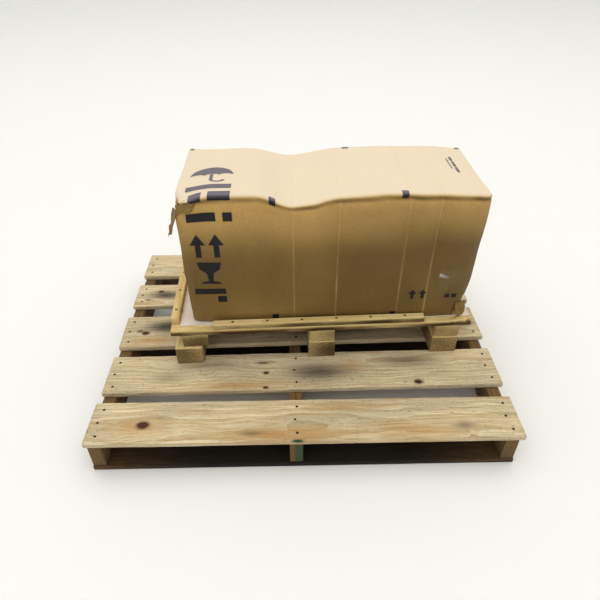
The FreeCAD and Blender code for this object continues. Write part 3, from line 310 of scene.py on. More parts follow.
def ripple(points, scale, seed):
    """Smooth noise from -1 to 1 at each point."""
    shift = Vector((seed * 7.31, seed * 3.17, seed * 5.93))
    return np.array([noise.noise(Vector(point * scale) + shift) for point in points])


def bump_shape(distance):
    """1 at no distance, falling smoothly to 0 at a distance of 1."""
    near = np.clip(1 - np.abs(distance), 0, 1)
    return near * near * (3 - 2 * near)


def add_attribute(piece, name, kind, values):
    field = "color" if kind == "FLOAT_COLOR" else "vector"
    attribute = piece.data.attributes.new(name, kind, "POINT")
    attribute.data.foreach_set(field, np.asarray(values, np.float32).ravel())


TOP_FACE = 0.005  # sides get painted shade once they are this far below the upper face
END_GRAIN = 0.03  # the ends soak up dirt this far in
CRACK_REACH = 0.0016  # a crack opens this far to either side of its line


def saw_board(
    node, body, material, seed, step=0.012, edge=0.0022, wear=0.0016, knots=(), cracks=(), chips=(), marks=(),
    painted_side_shade=0.45,
):
    """One sawn board that stands for its solid. Along and across are in metres from its middle.

    knots: (along, across, radius). cracks: (across, end, length, depth), with end -1 or 1.
    chips: (along, side, length, depth), at the upper edge of side -1 or 1.
    marks: (channel, along, across, reach along, reach across, strength). Channel 0 is resin, 1 paint, 2 grime
    and painted shade, and 3 sap. The last argument is the painted shade on faces that don't look up.
    """
    middle, ways, half = board_frame(node)
    flip = -1 if ways[2][2] < 0 or abs(ways[2][2]) < 0.5 and ways[1][2] < 0 else 1
    parts = (-1, -0.66, -0.33, 0, 0.33, 0.66, 1)
    extra_along = [chip[0] + chip[2] * part for chip in chips for part in parts]
    extra_across = [crack[0] + 0.0022 * part for crack in cracks for part in (-1, 0, 1)]
    lines = [
        cross_lines(half[0], edge, step, extra_along),
        cross_lines(half[1], edge, step * 0.75, extra_across),
        cross_lines(half[2], edge, max(step, 0.01)),
    ]
    points, faces = box_skin(lines)
    raw = points.copy()
    points = rounded(points, half, edge)
    u, v, w = raw.T
    room = half - np.abs(raw)
    near_edge = np.sort(room, axis=1)[:, 1] < edge * 0.8
    chew = np.clip(ripple(raw, 22.0, seed) + 0.15, 0, 1) * near_edge * wear * 1.6
    dip = (0.5 + 0.5 * ripple(raw * np.array([1.0, 3.0, 3.0]), 7.0, seed + 3)) * wear * 0.35
    inward = -np.sign(points) * (np.abs(points) > half - edge * 0.99)
    points = points + inward * (chew + dip)[:, None]
    for across, end, length, depth in cracks:
        along = np.clip(1 - (half[0] - end * u) / length, 0, 1)
        line = np.abs(v - across - 0.003 * ripple(raw * np.array([1.0, 0, 0]), 30.0, seed + 5)) < CRACK_REACH
        points[:, 2] -= np.sign(w) * depth * np.sqrt(along) * line * (np.abs(w) > half[2] * 0.8)
    for along, side, length, depth in chips:
        torn = bump_shape((u - along) / length) * np.clip(1 - (half[1] - side * v) / (depth * 2), 0, 1)
        upper = np.clip(0.6 + w / half[2], 0, 1)
        jag = 0.75 + 0.5 * ripple(raw, 90.0, seed + 9)
        points[:, 1] -= side * depth * torn * upper * jag
        points[:, 2] -= depth * 0.3 * torn * upper * jag * (w > 0)
    grain = raw.copy()
    painted = np.zeros((len(raw), 4))
    for along, across, radius in knots:
        du, dv = u - along, v - across
        reach = (du / (3.2 * radius)) ** 2 + (dv / (1.5 * radius)) ** 2
        grain[:, 1] -= dv / (np.abs(dv) + radius / 2) * radius * 1.6 * np.exp(-reach)
        core = np.sqrt((du / 1.35) ** 2 + dv ** 2) / radius
        painted[:, 0] = np.maximum(painted[:, 0], np.clip(1.25 - core * 0.8, 0, 1))
    for channel, along, across, reach_along, reach_across, strength in marks:
        blot = bump_shape(np.sqrt(((u - along) / reach_along) ** 2 + ((v - across) / reach_across) ** 2))
        if channel == 1:
            blot = blot * np.clip((w / half[2] + 0.45) * 5, 0.25, 1)
        painted[:, channel] = np.maximum(painted[:, channel], blot * strength)
    ends = np.clip(1 - (half[0] - np.abs(u)) / END_GRAIN, 0, 1)
    painted[:, 2] = np.maximum(painted[:, 2], 0.35 * ends)
    # Faces that don't look up are painted darker in the grime colour: painted shade, as the light comes from
    # above.
    depth = half[2] - w * flip if abs(ways[2][2]) > 0.5 else half[1] - v * flip
    sides = 1 - np.clip(1 - depth / TOP_FACE, 0, 1)
    painted[:, 2] = np.maximum(painted[:, 2], painted_side_shade * sides * (0.85 + 0.3 * ripple(raw, 9.0, seed + 11)))
    cut = random.Random(seed)
    pith = np.array([cut.uniform(-40, 40), cut.uniform(-0.06, 0.06), cut.uniform(0.03, 0.11) * flip])
    piece = new_piece(node + "_timber", points @ ways + middle, faces, material)
    if np.linalg.det(ways) < 0:
        piece.data.flip_normals()
    add_attribute(piece, "timber", "FLOAT_VECTOR", grain + pith)
    add_attribute(piece, "marks", "FLOAT_COLOR", painted)
    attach(piece, body)
    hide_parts(node)
    return piece


# Pine that has stood outdoors: matt, cream to grey, and streaked where rain and sap have run along the grain.
pallet_pine = timber_material("weathered pine", "#F3E6C2", "#B18E58", "#A79D84", "#4B463C", 0.55, 1.5)
# The same pine where it stays wet, dirty and in painted shade underneath: dark brown, dull, with little
# figure left.
damp_shaded_pine = timber_material("damp pine in painted shade", "#85693F", "#553A1A", "#5B4E38", "#1A140E", 0.5, 1.2)

for side, seed in (("left", 1), ("middle", 2), ("right", 3)):
    paint_marks = ()
    if side == "middle":
        paint_marks = ((1, -0.49, 0.0, 0.06, 0.30, 1.0),)
    grime_and_shade = ((2, -0.2, 0.0, 0.5, 0.1, 0.35), (2, 0.3, 0.0, 0.3, 0.1, 0.5))
    saw_board(
        f"stringer_{side}", "pallet", damp_shaded_pine, seed, step=0.02, marks=paint_marks + grime_and_shade,
        painted_side_shade=0.25,
    )

# The bottom boards are painted dark all over in the grime colour: painted shade under the deck.
for number in (1, 2, 3):
    saw_board(
        f"bottom_board_{number}", "pallet", damp_shaded_pine, 10 + number, step=0.02, painted_side_shade=0.75,
        marks=((2, 0.0, 0.0, 1.4, 0.5, 0.9),),
    )

saw_board(
    "deck_board_1", "pallet", pallet_pine, 21, step=0.0085, wear=0.002,
    knots=((-0.455, -0.012, 0.016),),
    cracks=((0.005, 1, 0.05, 0.008), (-0.028, -1, 0.035, 0.006), (0.018, -1, 0.03, 0.005)),
    chips=((0.464, -1, 0.016, 0.02), (0.30, -1, 0.05, 0.004), (-0.13, -1, 0.06, 0.003)),
    marks=(
        (2, -0.02, 0.0, 0.26, 0.06, 0.42), (2, 0.12, 0.02, 0.14, 0.05, 0.35),
        (2, 0.45, -0.03, 0.09, 0.04, 0.6), (2, -0.40, -0.02, 0.10, 0.06, 0.35),
        (1, -0.02, -0.074, 0.035, 0.012, 0.9), (2, -0.15, -0.045, 0.10, 0.025, 0.6),
        (0, -0.41, 0.012, 0.03, 0.012, 0.55), (3, -0.05, -0.05, 0.34, 0.045, 1.3),
        (3, 0.32, -0.045, 0.22, 0.05, 1.2), (3, -0.46, -0.02, 0.14, 0.06, 1.3),
        (3, 0.12, 0.045, 0.22, 0.03, 0.8), (2, -0.28, 0.03, 0.05, 0.05, 0.4),
    ),
)
saw_board(
    "deck_board_2", "pallet", pallet_pine, 22, step=0.0085,
    knots=((-0.115, -0.01, 0.007), (0.35, -0.062, 0.012), (-0.115, -0.07, 0.007)),
    cracks=((0.03, 1, 0.04, 0.006),),
    chips=((0.37, -1, 0.03, 0.004),),
    marks=(
        (0, -0.13, 0.035, 0.055, 0.016, 0.75), (0, -0.115, -0.005, 0.022, 0.01, 0.8),
        (2, -0.3, 0.03, 0.22, 0.05, 0.55), (2, 0.05, -0.01, 0.24, 0.09, 0.72),
        (2, 0.33, 0.03, 0.24, 0.07, 0.62), (2, 0.56, 0.0, 0.06, 0.08, 0.4),
        (2, -0.42, -0.02, 0.14, 0.07, 0.5), (3, -0.2, -0.06, 0.3, 0.03, 1.1),
        (3, 0.15, 0.02, 0.08, 0.05, 0.9),
    ),
)
saw_board(
    "deck_board_3", "pallet", pallet_pine, 23, step=0.0095,
    knots=((-0.53, -0.01, 0.011), (0.56, 0.02, 0.01)),
    cracks=((-0.02, -1, 0.06, 0.006),),
    marks=(
        (2, -0.45, 0.02, 0.2, 0.08, 0.8), (2, 0.1, 0.0, 0.5, 0.1, 0.75), (0, -0.55, 0.0, 0.03, 0.02, 0.8),
        (2, 0.52, 0.0, 0.14, 0.09, 0.75), (3, -0.5, -0.05, 0.12, 0.03, 1.0),
    ),
)
saw_board(
    "deck_board_4", "pallet", pallet_pine, 24, step=0.0095,
    knots=((-0.52, 0.02, 0.009),),
    marks=(
        (2, -0.5, 0.0, 0.16, 0.06, 0.75), (0, -0.56, -0.03, 0.03, 0.02, 0.7), (2, 0.3, 0.0, 0.5, 0.1, 0.6),
    ),
)
saw_board(
    "deck_board_5", "pallet", pallet_pine, 25, step=0.0095,
    cracks=((0.02, -1, 0.05, 0.006),),
    marks=((2, 0.2, 0.0, 0.5, 0.1, 0.4),),
)

# ---------------------------------------------------------------- pallet nails
# Wire nails with flat heads, driven flush by a nailing machine: drawn steel that has rusted to a dull dark
# brown, so that the heads are dark dots on the boards.


def metal_material(name, bright, dull, roughness, grain, metallic=1.0, relief=0.0004):
    """Metal with a cloudy tarnish: grain is the size of its clouds in metres."""
    material, add = new_material(name)
    place = add("TexCoord", {}, output=3)
    clouds = add("TexNoise", {"Vector": place, "Scale": 1 / grain, "Detail": 5.0, "Roughness": 0.6})
    colour = add("ValToRGB", {"Fac": clouds}, stops=((0.35, dull), (0.65, bright)))
    rough = add("MapRange", {"Value": clouds, "To Min": roughness + 0.1, "To Max": roughness - 0.08})
    bump = add("Bump", {"Height": clouds, "Strength": 0.25, "Distance": relief})
    surface = {"Base Color": colour, "Metallic": metallic, "Roughness": rough, "Normal": bump}
    finish_material(add, surface)
    return material


def coat(material, *nodes):
    """Gives solids that stay as they are their finish."""
    for node in nodes:
        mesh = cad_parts[node].data
        mesh.materials.clear()
        mesh.materials.append(material)


# Rust: brown-black and nearly matt, with the bright steel gone.
coat(metal_material("rusted wire nails", "#4A3A30", "#241C18", 0.62, 0.004, metallic=0.55), "pallet_nails")

# ---------------------------------------------------------------- skid timber
# Runners, bearers, boards, rails and batten of the skid the load was shipped on: new pine, straight off the
# saw and nailed up. The left runner has slipped, and the front board's right end has split.

# Fresh pine: pale butter yellow on its upper faces, olive brown on its ends and, as painted shade, on its
# rough sawn sides.
skid_pine = timber_material("fresh sawn pine", "#F6E3AC", "#C69A4C", "#D2B978", "#412C0A", 0.45, 0.7)

for side, seed in (("left", 31), ("middle", 32), ("right", 33)):
    saw_board(
        f"skid_runner_{side}", "skid", skid_pine, seed, step=0.016, edge=0.0025, painted_side_shade=0.76,
        marks=((2, -0.3, 0.0, 0.16, 0.1, 0.25),),
    )
    saw_board(
        f"skid_bearer_{side}", "skid", skid_pine, seed + 5, step=0.016, painted_side_shade=0.7,
        marks=((2, -0.3, 0.0, 0.16, 0.1, 0.2),),
    )
CRISP_EDGE = 0.0016
for number in (1, 2, 3, 4):
    front = number == 1
    saw_board(
        f"skid_board_{number}", "skid", skid_pine, 40 + number, step=0.01, edge=CRISP_EDGE,
        painted_side_shade=0.86,
        knots=((-0.2, 0.01, 0.008),) if number == 2 else (),
        cracks=((-0.030, 1, 0.075, 0.007), (-0.018, 1, 0.055, 0.008)) if front else (),
        chips=((0.425, -1, 0.04, 0.010), (0.455, -1, 0.016, 0.018)) if front else (),
        marks=((2, 0.45, -0.03, 0.04, 0.03, 0.35),) if front else (),
    )
saw_board(
    "rail_front", "skid", skid_pine, 51, step=0.01, edge=CRISP_EDGE, painted_side_shade=0.82,
    chips=((-0.10, -1, 0.03, 0.002), (0.05, -1, 0.02, 0.002)),
)
saw_board("rail_back", "skid", skid_pine, 52, step=0.01, edge=CRISP_EDGE)
saw_board("batten_left", "skid", skid_pine, 53, step=0.01, edge=CRISP_EDGE)

# Newer nails: dull steel grey with a little shine left.
coat(metal_material("bright wire nails", "#6E665C", "#3D3833", 0.45, 0.004, metallic=0.8), "skid_nails")

# ---------------------------------------------------------------- foam sheet
# A sheet of expanded polyethylene foam, 3 mm thick, laid on the skid's boards to keep the load off the wood.
# It is off-white with a faint pink tint, pebbled by its cells, and it cockles where nothing presses on it.

CELL_SIZE = 0.004  # real cells are about 1 mm; drawn coarser so that they show
SHEET_EDGE = 0.0008
SHEET_STEPS = (0.012, 0.012, 0.002)

# Expanded polyethylene: soft, milky and pebbled, with a little light sinking in.
foam, add = new_material("polyethylene foam")
place = add("TexCoord", {}, output=3)
cells = add("TexVoronoi", {"Vector": place, "Scale": 1 / CELL_SIZE})
dust = add("TexNoise", {"Vector": place, "Scale": 9.0, "Detail": 5.0})
tint = add("ValToRGB", {"Fac": dust}, stops=((0.35, "#D9CEC0"), (0.6, "#ECE3DA")))
relief = add("Bump", {"Height": cells, "Strength": 0.35, "Distance": 0.0006})
surface = {
    "Base Color": tint, "Roughness": 0.7, "Normal": relief,
    "Subsurface Weight": 0.15, "Subsurface Scale": 0.004,
}
finish_material(add, surface)

middle, ways, half = board_frame("barrier_sheet")
lines = [cross_lines(size, SHEET_EDGE, step) for size, step in zip(half, SHEET_STEPS)]
points, faces = box_skin(lines)
raw = points.copy()
points = rounded(points, half, SHEET_EDGE)
margin = np.minimum(half[0] - np.abs(raw[:, 0]), half[1] - np.abs(raw[:, 1]))
points[:, 2] += np.clip(1 - margin / 0.02, 0, 1) * 0.0012 * (ripple(raw, 26.0, 61) - 0.3)
sheet = new_piece("foam_sheet", points @ ways + middle, faces, foam)
if np.linalg.det(ways) < 0:
    sheet.data.flip_normals()
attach(sheet, "skid")
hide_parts("barrier_sheet")

# ---------------------------------------------------------------- breaker frame and case
# Two galvanised steel side plates carry the case, which is moulded in two halves from glass-filled polyester
# and screwed to them. Galvanising shows as frosty grey clouds, the mouldings as a fine, even grain.


def moulding_material(name, colour, shade, roughness, grain, gloss=0.5):
    """Moulded plastic with an eroded grain of that size, and faint flow marks."""
    material, add = new_material(name)
    place = add("TexCoord", {}, output=3)
    pits = add("TexNoise", {"Vector": place, "Scale": 1 / grain, "Detail": 2.0})
    flow = add("TexNoise", {"Vector": place, "Scale": 7.0, "Detail": 4.0, "Distortion": 1.5})
    tone = add("ValToRGB", {"Fac": flow}, stops=((0.3, shade), (0.7, colour)))
    rough = add("MapRange", {"Value": pits, "To Min": roughness - 0.08, "To Max": roughness + 0.08})
    bump = add("Bump", {"Height": pits, "Strength": 0.3, "Distance": 0.0004})
    surface = {
        "Base Color": tone, "Roughness": rough, "Normal": bump, "IOR": 1.5, "Specular IOR Level": gloss,
    }
    finish_material(add, surface)
    return material


galvanised = metal_material("galvanised steel", "#B9BEC2", "#8D9398", 0.38, 0.012)
coat(galvanised, "side_plate_left", "side_plate_right", "mechanism_frame")
polyester = moulding_material("moulded grey polyester", "#6E7377", "#62676B", 0.5, 0.0012)
coat(polyester, "pole_housing", "front_cover")
coat(metal_material("zinc plated screws", "#C9C8BE", "#9A9A92", 0.3, 0.006), "foot_screws", "charging_shaft")

# ---------------------------------------------------------------- breaker current path
# Copper bars and contact fingers plated with silver, a hardened steel shaft, cast resin current transformers
# and arc chutes of heat-proof laminate. The plating is pale gold where it is thin; the rest is dull.

plated = metal_material("silver plated copper", "#D9C3A8", "#B08A62", 0.3, 0.02)
coat(plated, "upper_terminals", "lower_terminals", "moving_contacts")
coat(metal_material("ground steel shaft", "#A9ABAD", "#84878A", 0.28, 0.008), "pole_shaft")
coat(moulding_material("black cast resin", "#232427", "#1A1B1D", 0.4, 0.002), "current_sensors")
coat(moulding_material("pale laminate", "#A79E88", "#8F8671", 0.7, 0.0015, gloss=0.3), "arc_chutes")

# ---------------------------------------------------------------- breaker mechanism
# A closing spring of blued steel wire, and the release coils, auxiliary switch and charging handle, which are
# black mouldings. The steel gleams dark blue; the mouldings have a soft, even sheen.

coat(metal_material("blued spring steel", "#4B4F5A", "#2C2F38", 0.32, 0.006), "closing_spring")
black = moulding_material("black moulding", "#2B2C2E", "#202123", 0.45, 0.0012)
coat(black, "release_coils", "auxiliary_switch", "charging_handle")

# ---------------------------------------------------------------- breaker controls
# The fascia and its trip unit are moulded from smooth thermoplastic, lighter than the case; the buttons and
# flags are coloured right through, and the trip unit's cover is clear acrylic.

coat(moulding_material("light grey thermoplastic", "#A6ABAE", "#9CA1A4", 0.42, 0.001), "fascia")
charcoal = moulding_material("charcoal thermoplastic", "#3A3E42", "#323639", 0.4, 0.001)
coat(charcoal, "trip_unit", "control_terminals")
coat(moulding_material("green button plastic", "#2F8A4A", "#277A40", 0.32, 0.0015), "on_button")
coat(moulding_material("red button plastic", "#B3261E", "#A01F18", 0.32, 0.0015), "off_button")
coat(moulding_material("white flag plastic", "#E8E6DF", "#DAD8D0", 0.4, 0.0015), "contact_flag")
coat(moulding_material("yellow flag plastic", "#D9B32F", "#C9A426", 0.4, 0.0015), "charge_flag")

# Acrylic: clear and shiny, with fine scuffs that dull it here and there.
acrylic, add = new_material("clear acrylic")
place = add("TexCoord", {}, output=3)
scuffs = add("TexNoise", {"Vector": place, "Scale": 160.0, "Detail": 6.0})
rough = add("MapRange", {"Value": scuffs, "To Min": 0.02, "To Max": 0.16})
tint = add("ValToRGB", {"Fac": scuffs}, stops=((0.3, "#F2F6F7"), (0.7, "#FBFCFC")))
surface = {"Base Color": tint, "Roughness": rough, "IOR": 1.49, "Transmission Weight": 1.0}
finish_material(add, surface)
coat(acrylic, "trip_unit_cover")

# ---------------------------------------------------------------- posts and pad inside the carton
# Angles of laminated board stand in the corners, and a foam pad lies on top of the load. The carton's top
# has sunk into the pad, so the pad has the same hollow and bellies down a little under it.

PAD_EDGE = 0.003
PAD_STEPS = (0.011, 0.011, 0.008)
PAD_RIPPLE = 0.0006
PAD_GAP = 0.0012  # the pad stays this far under the carton's top
UNDERSIDE_SHARE = 0.38  # how much of the top's hollow reaches the pad's underside


def carton_frame():
    """The carton's front left bottom corner, its directions and its sizes, from its pouch and its cap."""
    middle, ways, _ = board_frame("document_pouch")
    along = ways[np.argmax(np.abs(ways[:, 0]))]
    back = ways[np.argmax(np.abs(ways[:, 1]))]
    up = ways[np.argmax(np.abs(ways[:, 2]))]
    ways = np.array([along, back, up])
    points = np.array([vertex.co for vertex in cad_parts["carton_cap"].data.vertices]) @ ways.T
    return points.min(axis=0), ways, points.max(axis=0) - points.min(axis=0)


corner, carton_ways, carton_size = carton_frame()
LENGTH, DEPTH, HEIGHT = carton_size


def ramp(value, low, high):
    part = np.clip((value - low) / (high - low), 0, 1)
    return part * part * (3 - 2 * part)


def tent(value, left, peak, right):
    """0 outside left and right, rising straight to 1 at the peak."""
    return np.clip(np.minimum((value - left) / (peak - left), (right - value) / (right - peak)), 0, 1)


def top_sag(x, y):
    """How far the top has gone down at a place, in metres; negative where it stands up."""
    back = y / DEPTH
    valley = tent(x, 0.225 - 0.03 * back, 0.307, 0.43 + 0.02 * back)
    valley = 0.35 * valley + 0.65 * ramp(valley, 0.0, 1.0)
    sag = valley * 0.019 + 0.002 * bump_shape((x - 0.37) / 0.03) * (1 - back)
    crown = 0.017 * ramp(x, -0.01, 0.10) * (1 - ramp(x, 0.20, 0.31)) * (1 - 0.75 * back)
    crown = crown + 0.014 * tent(x, 0.37, 0.56, 0.93) * (1 - 0.7 * back)
    corner_drop = 0.009 * ramp(x, 0.74, 0.85) * back + 0.006 * ramp(x, 0.80, 0.84) * (1 - back)
    corner_lift = 0.007 * ramp(0.09 - x, 0.0, 0.09) * back
    return sag + corner_drop - crown - corner_lift


def to_row(points):
    """From the carton's frame to the row frame."""
    return (points + corner) @ carton_ways


# Laminated kraft board: dull brown and slightly mottled, like heavy paper.
angle_board = moulding_material("angle board", "#B39468", "#9F8157", 0.75, 0.002, gloss=0.2)
for side in ("front_left", "front_right", "back_left", "back_right"):
    coat(angle_board, f"corner_post_{side}")

middle, ways, half = board_frame("top_pad")
lines = [cross_lines(size, PAD_EDGE, step) for size, step in zip(half, PAD_STEPS)]
points, faces = box_skin(lines)
raw = points.copy()
local = (rounded(points, half, PAD_EDGE) @ ways + middle) @ carton_ways.T - corner
hollow = np.clip(top_sag(local[:, 0], local[:, 1]), 0, None) * 1.04 + PAD_GAP
share = (raw[:, 2] + half[2]) / (2 * half[2])
local[:, 2] -= hollow * (UNDERSIDE_SHARE + (1 - UNDERSIDE_SHARE) * share) + 0.0006 * share
local[:, :2] += (PAD_RIPPLE * ripple(raw, 40.0, 66))[:, None] * (share < 0.98)[:, None]
pad = new_piece("foam_pad", to_row(local), faces, foam)
if np.linalg.det(ways) < 0:
    pad.data.flip_normals()
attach(pad, "carton")
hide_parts("top_pad")

# ---------------------------------------------------------------- carton
# One sheet of double-wall corrugated board, 7 mm thick, scored and folded into a cap. It has been handled
# hard: its top has sunk, its front fold has buckled, its long side is creased, and two corners are crushed.

CARTON_FOLD = 0.0055
BOARD_THICKNESS = 0.007
FLUTE_PITCH = 0.008
CREASES = (0.310, 0.4355, 0.623, 0.7065)
FRONT_PANELS = (0.02,) + CREASES + (0.83,)
PANEL_BULGES = (0.9, 0.55, 0.85, 0.6, 0.9)  # how full each panel of the front is between its creases
BULGE = 0.0125
BULGE_DROP = 0.30  # the front bulges this far down from the top
FOLD_TUCK = 0.0075  # the front is pushed in this far just under its top fold
TUCK_DROP = 0.012
LEAN = 0.0086  # the front leans out this far at its top
WALL_REACH = 0.03  # a wall's dents die away this far in from it
CREASE_DEPTH = 0.0014


def handled(points):
    """Where each point of the folded, square carton is now that it is dented, creased and crushed."""
    x, y, z = points.T.copy()
    out = points.copy()
    front = bump_shape(y / WALL_REACH)
    rear = bump_shape((DEPTH - y) / WALL_REACH)
    left = bump_shape(x / WALL_REACH)
    right = bump_shape((LENGTH - x) / WALL_REACH)
    up = z / HEIGHT
    below = HEIGHT - z
    out[:, 2] -= top_sag(x, y) * up ** 3

    pillow = 0.0
    for start, end, fullness in zip(FRONT_PANELS, FRONT_PANELS[1:], PANEL_BULGES):
        pillow = pillow + fullness * np.sin(np.pi * np.clip((x - start) / (end - start), 0, 1)) ** 0.8
    bulge = BULGE * pillow * np.sin(np.pi * np.clip(below / BULGE_DROP, 0, 1) ** 0.55)
    waver = 0.7 + 0.3 * ripple(points * np.array([1.0, 0, 0]), 22.0, 71)
    tuck = FOLD_TUCK * bump_shape((below - TUCK_DROP) / 0.010) * waver
    out[:, 1] += front * (tuck - bulge) - LEAN * up * (1 - y / DEPTH)
    out[:, 1] += front * 0.45 * np.clip(0.020 - x, 0, 1) + front * 0.5 * np.clip(x - (LENGTH - 0.022), 0, 1)
    out[:, 1] += rear * 0.006 * np.sin(np.pi * up) * np.sin(np.pi * x / LENGTH)
    out[:, 0] -= left * (0.004 * np.sin(np.pi * up) + 0.003 * up)
    out[:, 0] += right * (0.005 * ramp(z, 0.1, 0.4) - 0.012 * ramp(0.15 - z, 0.0, 0.15))
    for crease in CREASES:
        groove = bump_shape((x - crease) / 0.0045)
        out[:, 1] += front * CREASE_DEPTH * groove * ramp(below, 0.012, 0.05)

    crumple = ripple(points, 9.0, 72) * 0.0022 + ripple(points, 24.0, 73) * 0.0008
    out[:, 1] += (rear - front) * crumple
    out[:, 0] += (right - left) * crumple
    out[:, 2] += bump_shape(below / 0.03) * crumple * 0.9

    def crush(place, reach, push, rough, pitch, seed):
        """Pushes in a corner: place, reach and push in the carton's directions."""
        distance = np.linalg.norm((points - np.array(place)) / np.array(reach), axis=1)
        amount = bump_shape(distance) * (1 + rough * ripple(points, pitch, seed))
        return amount[:, None] * np.array(push)

    out += crush((0.0, 0.0, HEIGHT), (0.075, 0.06, 0.05), (0.010, 0.012, -0.012), 0.8, 60.0, 74)
    gash = bump_shape((x - 0.02) / 0.045) * bump_shape((below - 0.014) / 0.010) * front
    out[:, 1] += 0.014 * gash
    out += crush((LENGTH, 0.0, 0.0), (0.05, 0.05, 0.085), (-0.016, 0.006, 0.006), 0.9, 55.0, 75)
    foot_lift = 0.006 * ramp(0.07 - x, 0, 0.05) + 0.004 * bump_shape((x - 0.78) / 0.05)
    out[:, 2] += bump_shape(z / 0.05) * front * foot_lift
    return out


def board_material(name):
    """Kraft board: channel 0 is painted light, 1 rubbed pale with a painted highlight, 2 soil and painted
    shade.
    """
    material, add = new_material(name)
    place = add("Attribute", {}, {"attribute_name": "panel"}, output=1)
    cloud = add("TexNoise", {"Vector": place, "Scale": 6.0, "Detail": 6.0, "Roughness": 0.6})
    thread = add("VectorMath", {0: place, 1: (1.0, 0.35, 0.35)}, TIMES)
    fleck = add("TexNoise", {"Vector": thread, "Scale": 260.0, "Detail": 4.0, "Roughness": 0.7})
    across = add("SeparateXYZ", {"Vector": place})
    wobble = add("TexNoise", {"Vector": place, "Scale": 14.0, "Detail": 2.0})
    phase = add("Math", {0: across, 1: 2 * math.pi / FLUTE_PITCH}, TIMES)
    flutes = add("Math", {0: phase}, {"operation": "SINE"})
    flutes = add("Math", {0: flutes, 1: wobble}, TIMES)
    kraft = add("ValToRGB", {"Fac": cloud}, stops=((0.3, "#AC8646"), (0.55, "#C19A55"), (0.75, "#CFAA64")))
    speck = add("ValToRGB", {"Fac": fleck}, stops=((0.3, "#8A6A38"), (0.7, "#D2AE6E")))
    board = add("Mix", {0: 0.3, 6: kraft, 7: speck}, BLEND, output=2)
    wear_and_light = add("Attribute", {}, {"attribute_name": "wear"})
    wear_and_light = add("SeparateColor", {"Color": wear_and_light}).node
    painted_top_light = add("Math", {0: wear_and_light.outputs[0], 1: 0.84}, TIMES)
    board = add("Mix", {0: painted_top_light, 6: board, 7: linear("#F3E4CC")}, BLEND, output=2)
    rub_and_highlight = add("Math", {0: wear_and_light.outputs[1], 1: fleck}, TIMES_CLAMPED)
    board = add("Mix", {0: rub_and_highlight, 6: board, 7: linear("#E3C58F")}, BLEND, output=2)
    soil_and_painted_shade = add("Math", {0: wear_and_light.outputs[2], 1: 0.92}, TIMES_CLAMPED)
    board = add("Mix", {0: soil_and_painted_shade, 6: board, 7: linear("#4A3608")}, BLEND, output=2)
    cells = {"Vector": place, "Scale": 11.0, "Randomness": 1.0}
    wrinkle = add("TexVoronoi", cells, {"feature": "DISTANCE_TO_EDGE"})
    wrinkle = add("MapRange", {"Value": wrinkle, "From Max": 0.06, "To Min": 1.0, "To Max": 0.0})
    folds = add("MapRange", {"Value": cloud, "From Min": 0.45, "From Max": 0.7})
    folds = add("Math", {0: wrinkle, 1: folds}, TIMES)
    height = add("Math", {0: flutes, 1: 0.35, 2: folds}, TIMES_PLUS)
    height = add("Math", {0: fleck, 1: 0.35, 2: height}, TIMES_PLUS)
    relief = add("Bump", {"Height": height, "Strength": 0.55, "Distance": 0.0018})
    rough = add("MapRange", {"Value": fleck, "To Min": 0.5, "To Max": 0.72})
    surface = {
        "Base Color": board, "Roughness": rough, "Normal": relief, "IOR": 1.45, "Specular IOR Level": 0.4,
    }
    finish_material(add, surface)
    return material


# Kraft liner over flutes: brown and half matt with flecks of fibre, faint washboard lines and pale rubbed
# folds, with painted light on the top, a painted highlight on the top fold and painted shade on the front.
kraft_board = board_material("kraft corrugated board")


def carton_lines(size, extra=()):
    centred = cross_lines(size / 2, CARTON_FOLD, BOARD_STEP, [place - size / 2 for place in extra])
    return [place + size / 2 for place in centred]


BOARD_STEP = 0.0075
crease_lines = [crease + 0.0022 * part for crease in CREASES for part in (-2, -1, 0, 1, 2)]
gash_lines = [HEIGHT - drop for drop in (0.010, 0.0125, 0.015, 0.018, 0.021, 0.025)]
lines = [carton_lines(LENGTH, crease_lines), carton_lines(DEPTH), carton_lines(HEIGHT, gash_lines)]
points, faces = box_skin(lines, open_below=True)
size = np.array([LENGTH, DEPTH, HEIGHT])
raw = points.copy()
half = size / 2
points = rounded(points - half, half, CARTON_FOLD) + half
sunk = raw[:, 2] < CARTON_FOLD
points[sunk, 2] = raw[sunk, 2]
outer = np.abs(raw[:, :2] - half[:2]) >= half[:2] - 1e-6
wall = sunk & outer.any(axis=1)
flat = raw.copy()
flat[:, 2] = np.clip(flat[:, 2], CARTON_FOLD, None)
level = rounded(flat - half, half, CARTON_FOLD) + half
points[wall, 0], points[wall, 1] = level[wall, 0], level[wall, 1]
dented = handled(points)
cap_mesh = new_piece("carton", to_row(dented), faces, kraft_board)
wear = np.zeros((len(raw), 4))
wear[:, 3] = 1
# Channel 1: the top fold, rubbed pale and also given a painted highlight, and the rubbed creases.
fold_rub_and_highlight = bump_shape((raw[:, 2] - HEIGHT) / 0.012) * bump_shape(raw[:, 1] / 0.012)
# Channel 0: painted light that makes the top lighter than the walls.
wear[:, 0] = ramp(points[:, 2], HEIGHT - 0.006, HEIGHT - 0.0005)
crease_mark = sum(bump_shape((raw[:, 0] - crease) / 0.0035) for crease in CREASES)
wear[:, 1] = np.clip(0.9 * fold_rub_and_highlight + 0.75 * crease_mark * (0.6 + 0.6 * ripple(raw, 15.0, 76)), 0, 1)
# Channel 2 on the front: painted shade, darker below the top band and towards the right near the top.
drop = HEIGHT - raw[:, 2]
painted_front_shade = 0.25 * ramp(raw[:, 0], 0.25, 0.75) * ramp(drop, 0.01, 0.05)
painted_front_shade += 0.82 * ramp(drop, 0.03, 0.20) - 0.06 * ramp(drop, 0.2, 0.4)
